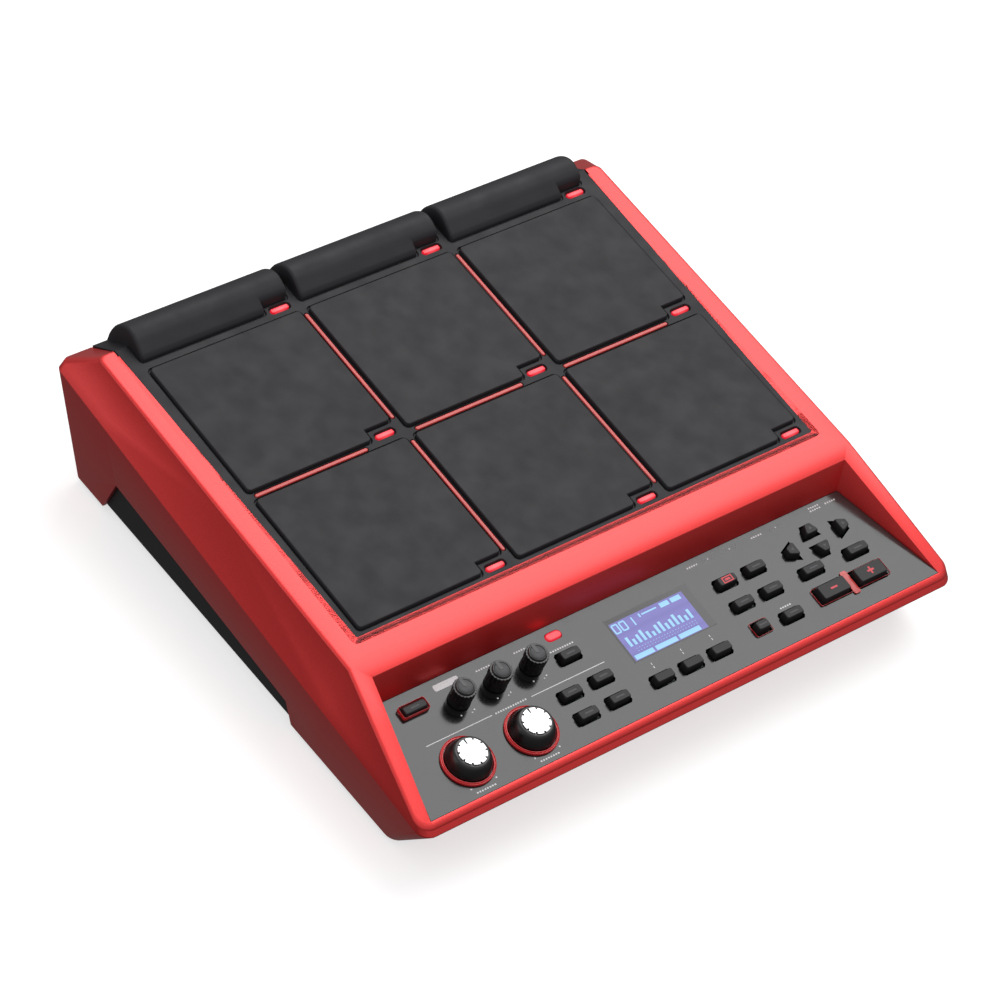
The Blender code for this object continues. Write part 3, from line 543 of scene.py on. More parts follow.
def ring_tree():
    """Sets copies of a small shape round an axis."""
    tree = bpy.data.node_groups.new("copies_round_axis", "GeometryNodeTree")
    face = tree.interface
    face.new_socket("Shape", in_out="INPUT", socket_type="NodeSocketObject")
    face.new_socket("Count", in_out="INPUT", socket_type="NodeSocketInt")
    face.new_socket("Radius", in_out="INPUT", socket_type="NodeSocketFloat")
    face.new_socket("Finish", in_out="INPUT", socket_type="NodeSocketMaterial")
    face.new_socket("Geometry", in_out="OUTPUT", socket_type="NodeSocketGeometry")
    given = add(tree, "NodeGroupInput").outputs
    shape = add(tree, "GeometryNodeObjectInfo", {"Object": given["Shape"]})
    spots = add(tree, "GeometryNodeMeshCircle", {"Vertices": given["Count"], "Radius": given["Radius"]})
    turn = add(tree, "ShaderNodeMath", {0: math.tau, 1: given["Count"]}, operation="DIVIDE")
    index = add(tree, "GeometryNodeInputIndex")
    angle = add(tree, "ShaderNodeMath", {0: turn.outputs[0], 1: index.outputs[0]}, operation="MULTIPLY")
    spin = add(tree, "ShaderNodeCombineXYZ", {"Z": angle.outputs[0]})
    copies = add(tree, "GeometryNodeInstanceOnPoints", {
        "Points": spots.outputs["Mesh"], "Instance": shape.outputs["Geometry"],
        "Rotation": spin.outputs["Vector"],
    })
    real = add(tree, "GeometryNodeRealizeInstances", {"Geometry": copies.outputs["Instances"]})
    coated = add(tree, "GeometryNodeSetMaterial", {
        "Geometry": real.outputs["Geometry"], "Material": given["Finish"],
    })
    add(tree, "NodeGroupOutput", {"Geometry": coated.outputs["Geometry"]})
    return tree


def row_tree():
    """Sets copies of a small shape on a grid."""
    tree = bpy.data.node_groups.new("copies_on_grid", "GeometryNodeTree")
    face = tree.interface
    face.new_socket("Shape", in_out="INPUT", socket_type="NodeSocketObject")
    for name in ("Columns", "Rows"):
        face.new_socket(name, in_out="INPUT", socket_type="NodeSocketInt")
    for name in ("Width", "Height"):
        face.new_socket(name, in_out="INPUT", socket_type="NodeSocketFloat")
    face.new_socket("Finish", in_out="INPUT", socket_type="NodeSocketMaterial")
    face.new_socket("Geometry", in_out="OUTPUT", socket_type="NodeSocketGeometry")
    given = add(tree, "NodeGroupInput").outputs
    shape = add(tree, "GeometryNodeObjectInfo", {"Object": given["Shape"]})
    spots = add(tree, "GeometryNodeMeshGrid", {
        "Size X": given["Width"], "Size Y": given["Height"],
        "Vertices X": given["Columns"], "Vertices Y": given["Rows"],
    })
    copies = add(tree, "GeometryNodeInstanceOnPoints", {
        "Points": spots.outputs["Mesh"], "Instance": shape.outputs["Geometry"],
    })
    real = add(tree, "GeometryNodeRealizeInstances", {"Geometry": copies.outputs["Instances"]})
    coated = add(tree, "GeometryNodeSetMaterial", {
        "Geometry": real.outputs["Geometry"], "Material": given["Finish"],
    })
    add(tree, "NodeGroupOutput", {"Geometry": coated.outputs["Geometry"]})
    return tree


def repeated(tree, bm, values):
    """The plain mesh of a repeated shape, still in millimetres. bm is the shape that repeats."""
    mesh = bpy.data.meshes.new("repeated_shape")
    bmesh.ops.recalc_face_normals(bm, faces=bm.faces)
    bm.to_mesh(mesh)
    bm.free()
    shape = bpy.data.objects.new("repeated_shape", mesh)
    holder = bpy.data.objects.new("repeated_holder", bpy.data.meshes.new("repeated_holder"))
    for made in (shape, holder):
        bpy.context.scene.collection.objects.link(made)
    modifier = holder.modifiers.new("copies", "NODES")
    modifier.node_group = tree
    named = {"Shape": shape, **values}
    for socket in tree.interface.items_tree:
        if socket.in_out == "INPUT":
            modifier[socket.identifier] = named[socket.name]
    bpy.context.view_layer.update()
    result = bpy.data.meshes.new_from_object(holder.evaluated_get(bpy.context.evaluated_depsgraph_get()))
    holder.modifiers.remove(modifier)
    for spare in (holder, shape):
        bpy.data.objects.remove(spare)
    return result


RING = ring_tree()
ROWS = row_tree()


# ---------------------------------------------------------------- red cover

def cover_ring(half_width, front, rear, height, grow=None):
    half = []
    for i in range(CORNER_STEPS + 1):
        angle = math.pi / 2 * (i / CORNER_STEPS - 1)
        half.append((half_width - CORNER * (1 - math.cos(angle)), front + CORNER * (1 + math.sin(angle))))
    half += [(half_width, y) for y in (-110.0, FOLD_Y, 30.0, 120.0)]
    for i in range(CORNER_STEPS + 1):
        angle = math.pi / 2 * i / CORNER_STEPS
        half.append((
            half_width - REAR_CORNER * (1 - math.cos(angle)), rear - REAR_CORNER * (1 - math.sin(angle)),
        ))
    right = [(x + (grow(y) if grow else 0.0), y, height(y)) for x, y in half]
    return right + [(-x, y, z) for x, y, z in reversed(right)]


def hem_ring(offset, z):
    rear = HEM_HALF_DEPTH - offset
    return cover_ring(HEM_HALF_WIDTH - offset, -rear, rear, lambda y: z)


def ridge_ring(offset):
    rear = HALF_DEPTH - offset
    return cover_ring(HALF_WIDTH - offset, -rear, rear, ridge_z)


def crest_ring(outward, drop):
    return cover_ring(
        CREST_HALF_WIDTH + outward, CREST_FRONT_Y - outward, CREST_REAR_Y + outward,
        lambda y: cover_z(y) - drop, flare,
    )


def blend_rings(low, high, share):
    return [Vector(a).lerp(Vector(b), share) for a, b in zip(low, high)]


def panel_point(x, s, n=0.0):
    return PANEL @ Vector((x, -s, n))


def well_rings(grow, share, lip_rise, depth):
    foot = [
        panel_point(PANEL_FRONT_HALF + grow, PANEL_LENGTH + grow),
        panel_point(PANEL_REAR_HALF + grow, -grow),
    ]
    opening = Vector((WELL_REAR_HALF + grow, WELL_REAR_Y + grow, cover_z(WELL_REAR_Y)))
    lid = [foot[0] + Vector((WELL_DRAFT * lip_rise, 0, lip_rise)), foot[1].lerp(opening, share)]
    down = PANEL.to_3x3() @ Vector((0, 0, -depth))
    rows = [lid, [spot + down for spot in foot]]
    if lip_rise > 0:
        rows.insert(1, foot)
    return [[*spots, *[Vector((-p.x, p.y, p.z)) for p in reversed(spots)]] for spots in rows]


def helper(bm):
    """A cutting or joining shape, in millimetres, that is removed after use."""
    bmesh.ops.recalc_face_normals(bm, faces=bm.faces)
    mesh = bpy.data.meshes.new("helper")
    bm.to_mesh(mesh)
    bm.free()
    made = bpy.data.objects.new("helper", mesh)
    bpy.context.scene.collection.objects.link(made)
    return made


def carved(bm, steps, bevel=None):
    """Runs exact Booleans on a drawing, then rounds its sharp edges. Returns a mesh in millimetres."""
    base = helper(bm)
    tools = []
    for operation, shape in steps:
        tool = helper(shape)
        tools.append(tool)
        modifier = base.modifiers.new(operation, "BOOLEAN")
        modifier.operation = operation
        modifier.solver = "EXACT"
        modifier.object = tool
    bpy.context.view_layer.update()
    cut = bpy.data.meshes.new_from_object(base.evaluated_get(bpy.context.evaluated_depsgraph_get()))
    base.modifiers.clear()
    if bevel:
        tidy = bmesh.new()
        tidy.from_mesh(cut)
        bmesh.ops.remove_doubles(tidy, verts=tidy.verts, dist=0.01)
        bmesh.ops.dissolve_limit(tidy, angle_limit=math.radians(0.6), verts=tidy.verts, edges=tidy.edges)
        tidy.to_mesh(cut)
        tidy.free()
        base.data = cut
        width, segments, angle = bevel
        modifier = base.modifiers.new("edges", "BEVEL")
        modifier.width = width
        modifier.segments = segments
        modifier.limit_method = "ANGLE"
        modifier.angle_limit = math.radians(angle)
        modifier.use_clamp_overlap = True
        modifier.miter_outer = "MITER_ARC"
        bpy.context.view_layer.update()
        cut = bpy.data.meshes.new_from_object(base.evaluated_get(bpy.context.evaluated_depsgraph_get()))
        base.modifiers.clear()
    for spare in (base, *tools):
        bpy.data.objects.remove(spare)
    cut.materials.clear()
    return cut


def red_cover():
    body = bmesh.new()
    ridge = ridge_ring(0)
    # Round shoulder between the side chamfer and the top skin
    arc = [
        crest_ring(CREST_ROUND * math.cos(a), CREST_ROUND * 0.62 * (1 - math.sin(a)))
        for a in (math.pi / 2 * i / 5 for i in range(6))
    ]
    brow = blend_rings(ridge, arc[0], 0.25)
    for point, low in zip(brow, ridge):
        point.y = low[1]
    strip_capped(body, [hem_ring(0, HEM_Z), ridge, brow, *arc])
    hollow = bmesh.new()
    strip_capped(hollow, [hem_ring(SKIN, HEM_Z - SKIN), ridge_ring(SKIN), crest_ring(-SKIN, SKIN)])
    walls = bmesh.new()
    skin(walls, well_rings(WELL_WALL, 0.93, -0.8, 4))
    openings = bmesh.new()
    skin(openings, well_rings(0, 1.5, 1.5, 9))
    edge, front = SHEET_HALF + 0.6, SHEET_FRONT - 0.6
    outline = rounded([(-edge, front), (edge, front), (edge, 400), (-edge, 400)], SHEET_CORNER + 0.6, 8)
    outline = [(a, min(b, 180)) for a, b in outline if b < 300] + [(edge, 180), (-edge, 180)]
    outline.sort(key=lambda p: -math.atan2(p[0], p[1] - 50))
    sheet_opening = bmesh.new()
    skin(sheet_opening, [[(a, b, pad_z(b) - 4) for a, b in outline], [(a, b, 100) for a, b in outline]])
    rear_step = bmesh.new()
    block(rear_step, (-edge, edge), (143, 181), (71, 101))
    recesses = bmesh.new()
    block(recesses, (-RECESS_HALF, RECESS_HALF), (133, 180), (-1, BROW_Z))
    prism(recesses, NOTCH, -200, 200, "X")
    mesh = carved(
        body,
        [("DIFFERENCE", hollow), ("UNION", walls), ("DIFFERENCE", openings),
         ("DIFFERENCE", sheet_opening), ("DIFFERENCE", rear_step), ("DIFFERENCE", recesses)],
        (0.9, 3, 24),
    )
    mesh.transform(Matrix.Scale(MM, 4))
    return from_mesh("red_cover", mesh, [RED], replaces=["top_cover"], crease=30)


# ---------------------------------------------------------------- rubber sheet

def outline_distance(points, x, y):
    """Signed distance from grid points to a polygon, negative inside."""
    count = len(points)
    best = np.full(x.shape, 1e9)
    inside = np.zeros(x.shape, bool)
    for i in range(count):
        (ax, ay), (bx, by) = points[i - 1], points[i]
        ex, ey = bx - ax, by - ay
        share = np.clip(((x - ax) * ex + (y - ay) * ey) / (ex * ex + ey * ey), 0, 1)
        best = np.minimum(best, np.hypot(x - ax - share * ex, y - ay - share * ey))
        crosses = (ay > y) != (by > y)
        where = ax + (y - ay) * ex / (ey if ey else 1e-9)
        inside ^= crosses & (x < where)
    return np.where(inside, -best, best)


def soft_outline_distance(points, radius, x, y):
    return outline_distance(inset(points, radius), x, y) - radius


def grid_lines(low, high, spacing, marks):
    """Even lines, with closer ones round each mark."""
    near = (0.0, 0.15, 0.4, 0.7, 1.0, 1.3, 1.7, 2.2, 2.9, 3.8, 4.8)
    wanted = [low, high]
    for mark in marks:
        wanted += [mark + sign * step for step in near for sign in (1, -1)]
    count = int((high - low) / spacing)
    coarse = [low + (high - low) * i / count for i in range(count + 1)]
    wanted = sorted(v for v in wanted if low <= v <= high)
    kept = []
    for value in wanted:
        if not kept or value - kept[-1] > 0.12:
            kept.append(value)
    for value in coarse:
        if all(abs(value - other) > spacing * 0.45 for other in kept):
            kept.append(value)
    return np.array(sorted(kept))


def curve_through(points, count):
    """A smooth curve through points, evenly spaced along its length."""
    padded = [points[0], *points, points[-1]]
    dense = []
    for a, b, c, d in zip(padded, padded[1:], padded[2:], padded[3:]):
        a, b, c, d = map(np.array, (a, b, c, d))
        for t in np.linspace(0, 1, 12, endpoint=False):
            dense.append(0.5 * (2 * b + (c - a) * t + (2 * a - 5 * b + 4 * c - d) * t ** 2
                                + (3 * b - a - 3 * c + d) * t ** 3))
    dense.append(np.array(points[-1]))
    dense = np.array(dense)
    length = np.concatenate(([0], np.cumsum(np.hypot(*np.diff(dense, axis=0).T))))
    where = np.linspace(0, length[-1], count)
    return np.stack([np.interp(where, length, dense[:, i]) for i in (0, 1)], 1)


def pad_edge(distance, raise_mm, trench, radius):
    """Height across a pad's edge: a trench outside, a steep wall and a rounded top edge."""
    radius = np.minimum(radius, raise_mm * 0.9)
    depth = np.clip(-distance, 0, None)
    curve = np.sqrt(np.clip(radius ** 2 - (radius - np.minimum(depth, radius)) ** 2, 0, None))
    top = raise_mm - radius + curve
    wall = np.clip((0.15 - distance) / 0.3, 0, 1)
    inside = -trench + (top + trench) * wall
    lip = np.clip((distance - 0.95) / 0.4, 0, 1)
    outside = -trench * (1 - lip * lip * (3 - 2 * lip))
    return np.where(distance < 0.15, inside, outside)


def rubber_sheet():
    """One moulded sheet: six flat pads and three rounded rear pads, slots and lamp holes."""
    x_marks, y_marks = [], []
    for column in COLUMNS:
        x_marks += [column - PAD_HALF, column + PAD_HALF, column + LAMP_CUT_X]
    for x in LAMP_X:
        x_marks += [x - LAMP_SIZE[0] / 2 - 0.3, x + LAMP_SIZE[0] / 2 + 0.3]
    x_marks += [x + side * (STRIP_WIDE / 2 + 0.2) for x in STRIP_X for side in (1, -1)]
    x_marks += [end for pair in STRIPS_ALONG_X for end in pair] + [-SHEET_HALF, SHEET_HALF]
    for front, rear in PAD_ROWS:
        y_marks += [front, rear, front + LAMP_CUT_DEEP]
    for y in LAMP_Y.values():
        y_marks += [y - LAMP_SIZE[1] / 2 - 0.3, y + LAMP_SIZE[1] / 2 + 0.3]
    y_marks += [STRIP_Y - STRIP_WIDE / 2 - 0.2, STRIP_Y + STRIP_WIDE / 2 + 0.2, SHEET_FRONT]
    y_marks += [end for pair in STRIPS_ALONG_Y for end in pair]
    y_marks += [SHOULDER_FRONT, SHOULDER_NOTCH]
    tail = np.array(SHEET_TAIL)
    bend = np.array((SHEET_BEND, pad_z(SHEET_BEND)))
    end = SHEET_BEND + float(np.hypot(*(tail - bend)))
    xs = grid_lines(-SHEET_HALF, SHEET_HALF, 6.0, x_marks)
    vs = grid_lines(SHEET_FRONT, SHEET_BEND - 4, 6.0, y_marks)
    vs = np.concatenate((vs, np.linspace(SHEET_BEND - 3, end, 34)))
    x, v = np.meshgrid(xs, vs, indexing="ij")

    # The sheet's own path: flat on the playing plane, then down the rear chamfer
    share = np.clip((v - SHEET_BEND) / (end - SHEET_BEND), 0, 1)
    base_y = np.where(v < SHEET_BEND, v, bend[0] + share * (tail[0] - bend[0]))
    base_z = np.where(v < SHEET_BEND, pad_z(v), bend[1] + share * (tail[1] - bend[1]))

    height = np.zeros(x.shape)
    for column in COLUMNS:
        left, right, step = column - PAD_HALF, column + PAD_HALF, column + LAMP_CUT_X
        for front, rear in PAD_ROWS:
            cut = front + LAMP_CUT_DEEP
            outline = [
                (left, front), (step, front), (step, cut), (right, cut), (right, rear), (left, rear),
            ]
            distance = soft_outline_distance(outline, 2.2, x, v)
            raised = pad_edge(distance, PAD_RAISE, 1.3, 0.7)
            height = np.where(distance < 1.4, raised, height)

    slots = []
    for sx in STRIP_X:
        for low, high in STRIPS_ALONG_Y:
            slots.append((sx, (low + high) / 2, STRIP_WIDE, high - low))
    for low, high in STRIPS_ALONG_X:
        slots.append(((low + high) / 2, STRIP_Y, high - low, STRIP_WIDE))
    for lx in LAMP_X:
        for ly in LAMP_Y.values():
            slots.append((lx, ly, *LAMP_SIZE))
    for cx, cy, wide, tall in slots:
        reach = min(wide, tall) / 2
        core = [size / 2 - reach for size in (wide, tall)]
        distance = np.hypot(
            np.clip(np.abs(x - cx) - core[0], 0, None), np.clip(np.abs(v - cy) - core[1], 0, None)
        ) - reach - 0.2
        fall = np.clip((0.2 - distance) / 0.35, 0, 1)
        height = np.where(v < SHEET_BEND, height * (1 - fall) - 1.7 * fall, height)

    border = np.minimum(SHEET_HALF - np.abs(x), v - SHEET_FRONT)
    soft = np.clip(border / 1.3, 0, 1)
    height -= 0.9 * (1 - np.sqrt(1 - (1 - soft) ** 2)) * (v < SHEET_BEND)
    y = base_y.copy()
    z = base_z + height

    # Rear pads: lifted from the sheet's path to their own rounded path
    arch = curve_through(SHOULDER, 400)
    along = np.clip((v - SHOULDER_FRONT) / (end - SHOULDER_FRONT), 0, 1)
    arch_y = np.interp(along, np.linspace(0, 1, 400), arch[:, 0])
    arch_z = np.minimum(np.interp(along, np.linspace(0, 1, 400), arch[:, 1]), 94.0)
    lift = np.hypot(arch_y - base_y, arch_z - base_z)
    for column in COLUMNS:
        left, right, step = column - PAD_HALF, column + PAD_HALF, column + LAMP_CUT_X
        outline = [
            (left, SHOULDER_FRONT), (step, SHOULDER_FRONT), (step, SHOULDER_NOTCH),
            (right, SHOULDER_NOTCH), (right, end + 40), (left, end + 40),
        ]
        distance = soft_outline_distance(outline, 2.0, x, v)
        raised = pad_edge(distance, lift, 0.9, 2.2)
        weight = np.where(distance < 0.15, raised / np.maximum(lift, 0.1), 0.0)
        weight = np.clip(weight, 0, 1)
        inside = (distance < 0.15) & (v > SHOULDER_FRONT - 1)
        y = np.where(inside, base_y + weight * (arch_y - base_y), y)
        z = np.where(inside, base_z + weight * (arch_z - base_z), z)
        trench = (distance >= 0.15) & (distance < 1.4) & (v > SHOULDER_FRONT - 2) & (v < SHEET_BEND)
        z = np.where(trench, base_z + raised, z)
    y = np.minimum(y, HALF_DEPTH)

    # Round the two front corners by drawing their squares in to quarter circles
    across = np.clip((np.abs(x) - (SHEET_HALF - SHEET_CORNER)) / SHEET_CORNER, 0, 1)
    down = np.clip((SHEET_FRONT + SHEET_CORNER - v) / SHEET_CORNER, 0, 1)
    pulled_x = np.sign(x) * SHEET_CORNER * across * (1 - np.sqrt(1 - down ** 2 / 2))
    pulled_y = SHEET_CORNER * down * (1 - np.sqrt(1 - across ** 2 / 2))
    x = x - pulled_x
    y = y + pulled_y
    z = z + rise(PAD_TILT) * pulled_y

    bm = bmesh.new()
    nx, nv = x.shape
    top = [[bm.verts.new((x[i, j], y[i, j], z[i, j])) for j in range(nv)] for i in range(nx)]
    for i in range(nx - 1):
        for j in range(nv - 1):
            bm.faces.new((top[i][j], top[i + 1][j], top[i + 1][j + 1], top[i][j + 1]))
    under = []
    for sx in (xs[0], xs[-1]):
        row = []
        for j in range(nv):
            drop = (-1.2, -1.6) if vs[j] >= SHEET_BEND else (0.0, -SHEET_THICK)
            end_x = abs(x[0, j]) * np.sign(sx)
            lift_y = pulled_y[0, j]
            low = (end_x, base_y[0, j] + lift_y + drop[0], base_z[0, j] + rise(PAD_TILT) * lift_y + drop[1])
            row.append(bm.verts.new(low))
        under.append(row)
    for j in range(nv - 1):
        bm.faces.new((under[0][j], under[0][j + 1], under[1][j + 1], under[1][j]))
        bm.faces.new((top[0][j], top[0][j + 1], under[0][j + 1], under[0][j]))
        bm.faces.new((top[-1][j + 1], top[-1][j], under[1][j], under[1][j + 1]))
    for j in (0, nv - 1):
        bm.faces.new([*[top[i][j] for i in range(nx)], under[1][j], under[0][j]])
    made = piece("rubber_pads", bm, [RUBBER], replaces=["pad_sheet"], crease=50)
    return made


# ---------------------------------------------------------------- strips and lamps

def stadium(length, width, steps=8):
    radius = width / 2
    half = length / 2 - radius
    points = []
    for side in (1, -1):
        for i in range(steps + 1):
            angle = -math.pi / 2 + math.pi * i / steps
            points.append((side * (half + radius * math.cos(angle)), side * radius * math.sin(angle)))
    return points


def domed(bm, outline, low, wall, top, edge, place=None, paint=0, steps=4):
    """A block on an outline whose top edge is rounded over."""
    rings = [[(a, b, low) for a, b in outline]]
    for i in range(steps + 1):
        angle = math.pi / 2 * i / steps
        pulled = inset(outline, edge * (1 - math.cos(angle))) if i else outline
        rings.append([(a, b, wall + (top - wall) * math.sin(angle)) for a, b in pulled])
    if place is not None:
        rings = [[place @ Vector(p) for p in ring] for ring in rings]
    skin(bm, rings, paint=paint)


def accent_strips():
    bm = bmesh.new()
    for x in STRIP_X:
        for low, high in STRIPS_ALONG_Y:
            turn = Matrix.Translation((x, (low + high) / 2, 0)) @ Matrix.Rotation(math.pi / 2, 4, "Z")
            domed(bm, stadium(high - low, STRIP_WIDE), -2.6, -0.4, 0.2, 0.6, turn)
    for low, high in STRIPS_ALONG_X:
        domed(bm, stadium(high - low, STRIP_WIDE), -2.6, -0.4, 0.2, 0.6,
              Matrix.Translation(((low + high) / 2, STRIP_Y, 0)))
    for x in STRIP_X:
        block(bm, (x - 2.8, x + 2.8), (-56, 128), (-3.15, -2.45))
    block(bm, (-151, 132), (31.0, 35.4), (-3.3, -2.3))
    piece("accent_strips", lean(bm), [ACCENT], replaces=["accent_grid"])


def lamps():
    for row, y in LAMP_Y.items():
        bm = bmesh.new()
        layer = bm.verts.layers.float_vector.new("turning")
        for x in LAMP_X:
            before = set(bm.verts)
            domed(bm, rounded(plate(LAMP_SIZE[0] - 1.0, LAMP_SIZE[1] - 1.1), 1.3), -4.1, -0.6, -0.1, 0.7,
                  Matrix.Translation((x, y, 0)))
            for vert in set(bm.verts) - before:
                vert[layer] = (vert.co - Vector((x, y, 0))) * MM
        block(bm, (LAMP_X[0] - 8, LAMP_X[2] + 8), (y - 2.0, y + 2.0), (-5.0, -3.6))
        piece(f"{row}_lamps", lean(bm), [LAMP], replaces=[f"light_guide_{row}"])


# ---------------------------------------------------------------- panel controls

def button_outline(kind, inward=0.0):
    """A key's outline, drawn inward by a distance with its corner radius kept safe."""
    if kind in OUTLINE_SIZES:
        size = [length - 2 * inward for length in OUTLINE_SIZES[kind]]
        radius = 1.0 if kind == "framed" else 2.2
        return rounded(plate(*size), max(radius - 0.6 * inward, 0.4))
    wide, tall, tip = ARROW_WIDE / 2, ARROW_TALL / 2, ARROW_TIP / 2
    turn = Matrix.Rotation(math.radians({"up": 0, "left": 90, "down": 180, "right": 270}[kind]), 2)
    points = [(-wide, -tall), (wide, -tall), (tip, tall), (-tip, tall)]
    points = [tuple(turn @ Vector(p)) for p in points]
    return rounded(inset(points, inward) if inward else points, max(1.9 - 0.6 * inward, 0.4))


def mark(bm, outline, level, paint, lift=0.04):
    """A printed mark: a thin flat layer of ink."""
    prism(bm, outline, level - 0.2, level + lift, paint=paint)


def button_marks(bm, name, top):
    if name == "plus_button":
        mark(bm, plate(4.6, 1.1), top, 1)
        mark(bm, plate(1.1, 4.6), top, 1, 0.05)
    elif name == "minus_button":
        mark(bm, plate(4.6, 1.1), top, 1)
    elif name == "kit_button":
        for outline in (plate(6.6, 0.7, (0, 1.6)), plate(6.6, 0.7, (0, -1.6)), plate(0.7, 3.9, (-3.0, 0)),
                        plate(0.7, 3.9, (3.0, 0)), plate(3.4, 1.3)):
            mark(bm, outline, top, 1, 0.04 + 0.005 * outline[0][0])
    elif name.startswith("arrow"):
        turn = Matrix.Rotation(math.radians(
            {"up": 0, "left": 90, "down": 180, "right": 270}[name.split("_")[1]]), 2)
        mark(bm, [tuple(turn @ Vector(p)) for p in ((-1.1, -0.8), (1.1, -0.8), (0, 1.1))], top, 2)
    elif not name.startswith("function"):
        mark(bm, plate(5.4, 0.8), top, 2)


def keycaps():
    """Rubbery keys: nearly upright sides, a wide soft edge and a flat top."""
    for name, (x, s, kind) in BUTTONS.items():
        high = BUTTON_RISE - (0.7 if kind == "framed" else 0.0)
        bm = bmesh.new()
        levels = ((0.0, -2.0), (0.0, 0.3), (0.3, high - 1.3), (0.5, high - 0.8), (0.8, high - 0.38),
                  (1.15, high - 0.12), (1.5, high), (1.75, high))
        skin(bm, [[(a, b, z) for a, b in button_outline(kind, d)] for d, z in levels])
        button_marks(bm, name, high)
        place = PANEL @ Matrix.Translation((x, -s, 0))
        piece(name.replace("button", "keycap"), bm, [BUTTON, RED_INK, DIM_INK], body=name,
              place=place, replaces=[name], crease=40)


def toothed_disc():
    """The cap's outline: ten notches in its rim, of which the one at the top is a longer pointer."""
    points = []
    for i in range(360):
        angle = math.tau * i / 360
        turn = (angle - math.pi / 2) / (math.tau / 10)
        off = abs(turn - round(turn)) * (math.tau / 10) * CAP_RADIUS
        pointer = math.cos(angle - math.pi / 2) > 0.95
        radius = CAP_RADIUS
        if off < 0.62:
            radius = CAP_RADIUS - (3.1 if pointer else 1.05)
        points.append((radius * math.cos(angle), radius * math.sin(angle)))
    return points


def knobs():
    for name, (x, s) in CONTROL_KNOBS.items():
        place = PANEL @ Matrix.Translation((x, -s, 0))
        bm = bmesh.new()
        lathe(bm, (
            (3.0, -3.9), (3.0, 0.5), (12.2, 0.5), (12.55, 0.8), (12.6, 1.8), (12.4, 2.5), (11.7, 4.6),
            (10.8, 6.7), (10.1, 8.0), (9.6, 8.6), (9.0, 8.95), (8.3, 9.05), (7.9, 9.05),
        ), 96)
        piece(name + "_body", bm, [KNOB], body=name, place=place, replaces=[name],
              crease=35)
        cap = bmesh.new()
        points = toothed_disc()
        skin(cap, [[(a * share, b * share, z) for a, b in points]
                   for share, z in ((1.0, 8.9), (1.0, 9.75), (0.985, 9.9))])
        remember_place(cap)
        piece(name + "_disc", cap, [SILVER], body=name, place=place,
              replaces=[name + "_cap"], crease=30)

        ring = bmesh.new()
        lathe(ring, ((14.6, 0.3), (14.6, 1.2), (14.5, 1.5), (14.3, 1.6), (14.15, 1.4), (14.0, 1.1),
                     (13.85, 1.1), (13.7, 1.4), (13.5, 1.75), (13.25, 1.8), (13.05, 1.6), (13.0, 1.2),
                     (13.0, 0.3)), 128, closed=True)
        piece(name.replace("knob", "light_ring"), ring, [TRIM], place=place,
              replaces=[name.replace("knob", "ring")])
        seat = bmesh.new()
        lathe(seat, ((12.9, 0.02), (12.9, 0.25), (7.0, 0.25), (7.0, 0.02)), 64, closed=True)
        piece(name + "_seat", seat, [KNOB], place=place)

    for name, (x, s) in VOLUME_KNOBS.items():
        place = PANEL @ Matrix.Translation((x, -s, 0))
        bm = bmesh.new()
        lathe(bm, ((3.0, -3.9), (3.0, 0.4), (6.0, 0.4), (6.25, 0.7), (6.1, 3.2), (5.75, 6.0), (5.45, 6.6),
                   (5.25, 11.9), (5.05, 12.6), (4.75, 12.95), (4.3, 13.05), (4.1, 12.8), (3.9, 12.75)), 64)
        rib = bmesh.new()
        domed(rib, rounded(plate(0.5, 0.55), 0.15, 2), 6.6, 11.7, 12.0, 0.15, steps=2)
        ribs = repeated(RING, rib, {"Count": 20, "Radius": 5.25, "Finish": KNOB})
        bm.from_mesh(ribs)
        piece(name + "_body", bm, [KNOB], body=name, place=place, replaces=[name],
              crease=28)
        top = bmesh.new()
        lathe(top, ((4.0, 12.6), (4.0, 12.86), (3.8, 12.95), (2.0, 13.0)), 48)
        piece(name + "_top", top, [KNOB_TOP], body=name, place=place)
        line = bmesh.new()
        domed(line, rounded(plate(0.9, 4.4, (0, 2.6)), 0.3, 2), 12.6, 13.0, 13.1, 0.1, steps=1)
        piece(name + "_pointer", line, [KNOB], body=name, place=place)


def frames():
    """Thin red rails round keys, the value keys' pair sharing a web between them."""
    for name, (x, s, width, height, bar, top) in FRAMES.items():
        section = ((0.0, 0.3), (0.0, top - 0.2), (0.2, top), (bar - 0.2, top), (bar, top - 0.2), (bar, 0.3))
        if name == "all_off_frame":
            section = ((0.0, 0.3), (0.0, top - 0.15), (0.15, top), (0.4, top), (0.5, top - 0.3),
                       (0.7, top - 0.3), (0.8, top), (1.05, top), (bar, top - 0.15), (bar, 0.3))
        rings = [
            [(a, b, z) for a, b in rounded(plate(width - 2 * d, height - 2 * d), 3.0 - 0.8 * d)]
            for d, z in section
        ]
        bm = bmesh.new()
        skin(bm, [*rings, rings[0]], (False, False))
        if name == "value_frame":
            low, high = (edge - x for edge in VALUE_WEB)
            web = rounded(plate(high - low, height - 2 * bar + 0.2, ((low + high) / 2, 0)), 0.3, 2)
            domed(bm, web, 0.3, top - 0.2, top - 0.05, 0.2, paint=1, steps=2)
        piece(name.replace("frame", "trim"), bm, [TRIM, ACCENT], place=PANEL @ Matrix.Translation((x, -s, 0)),
              replaces=[name], crease=35)


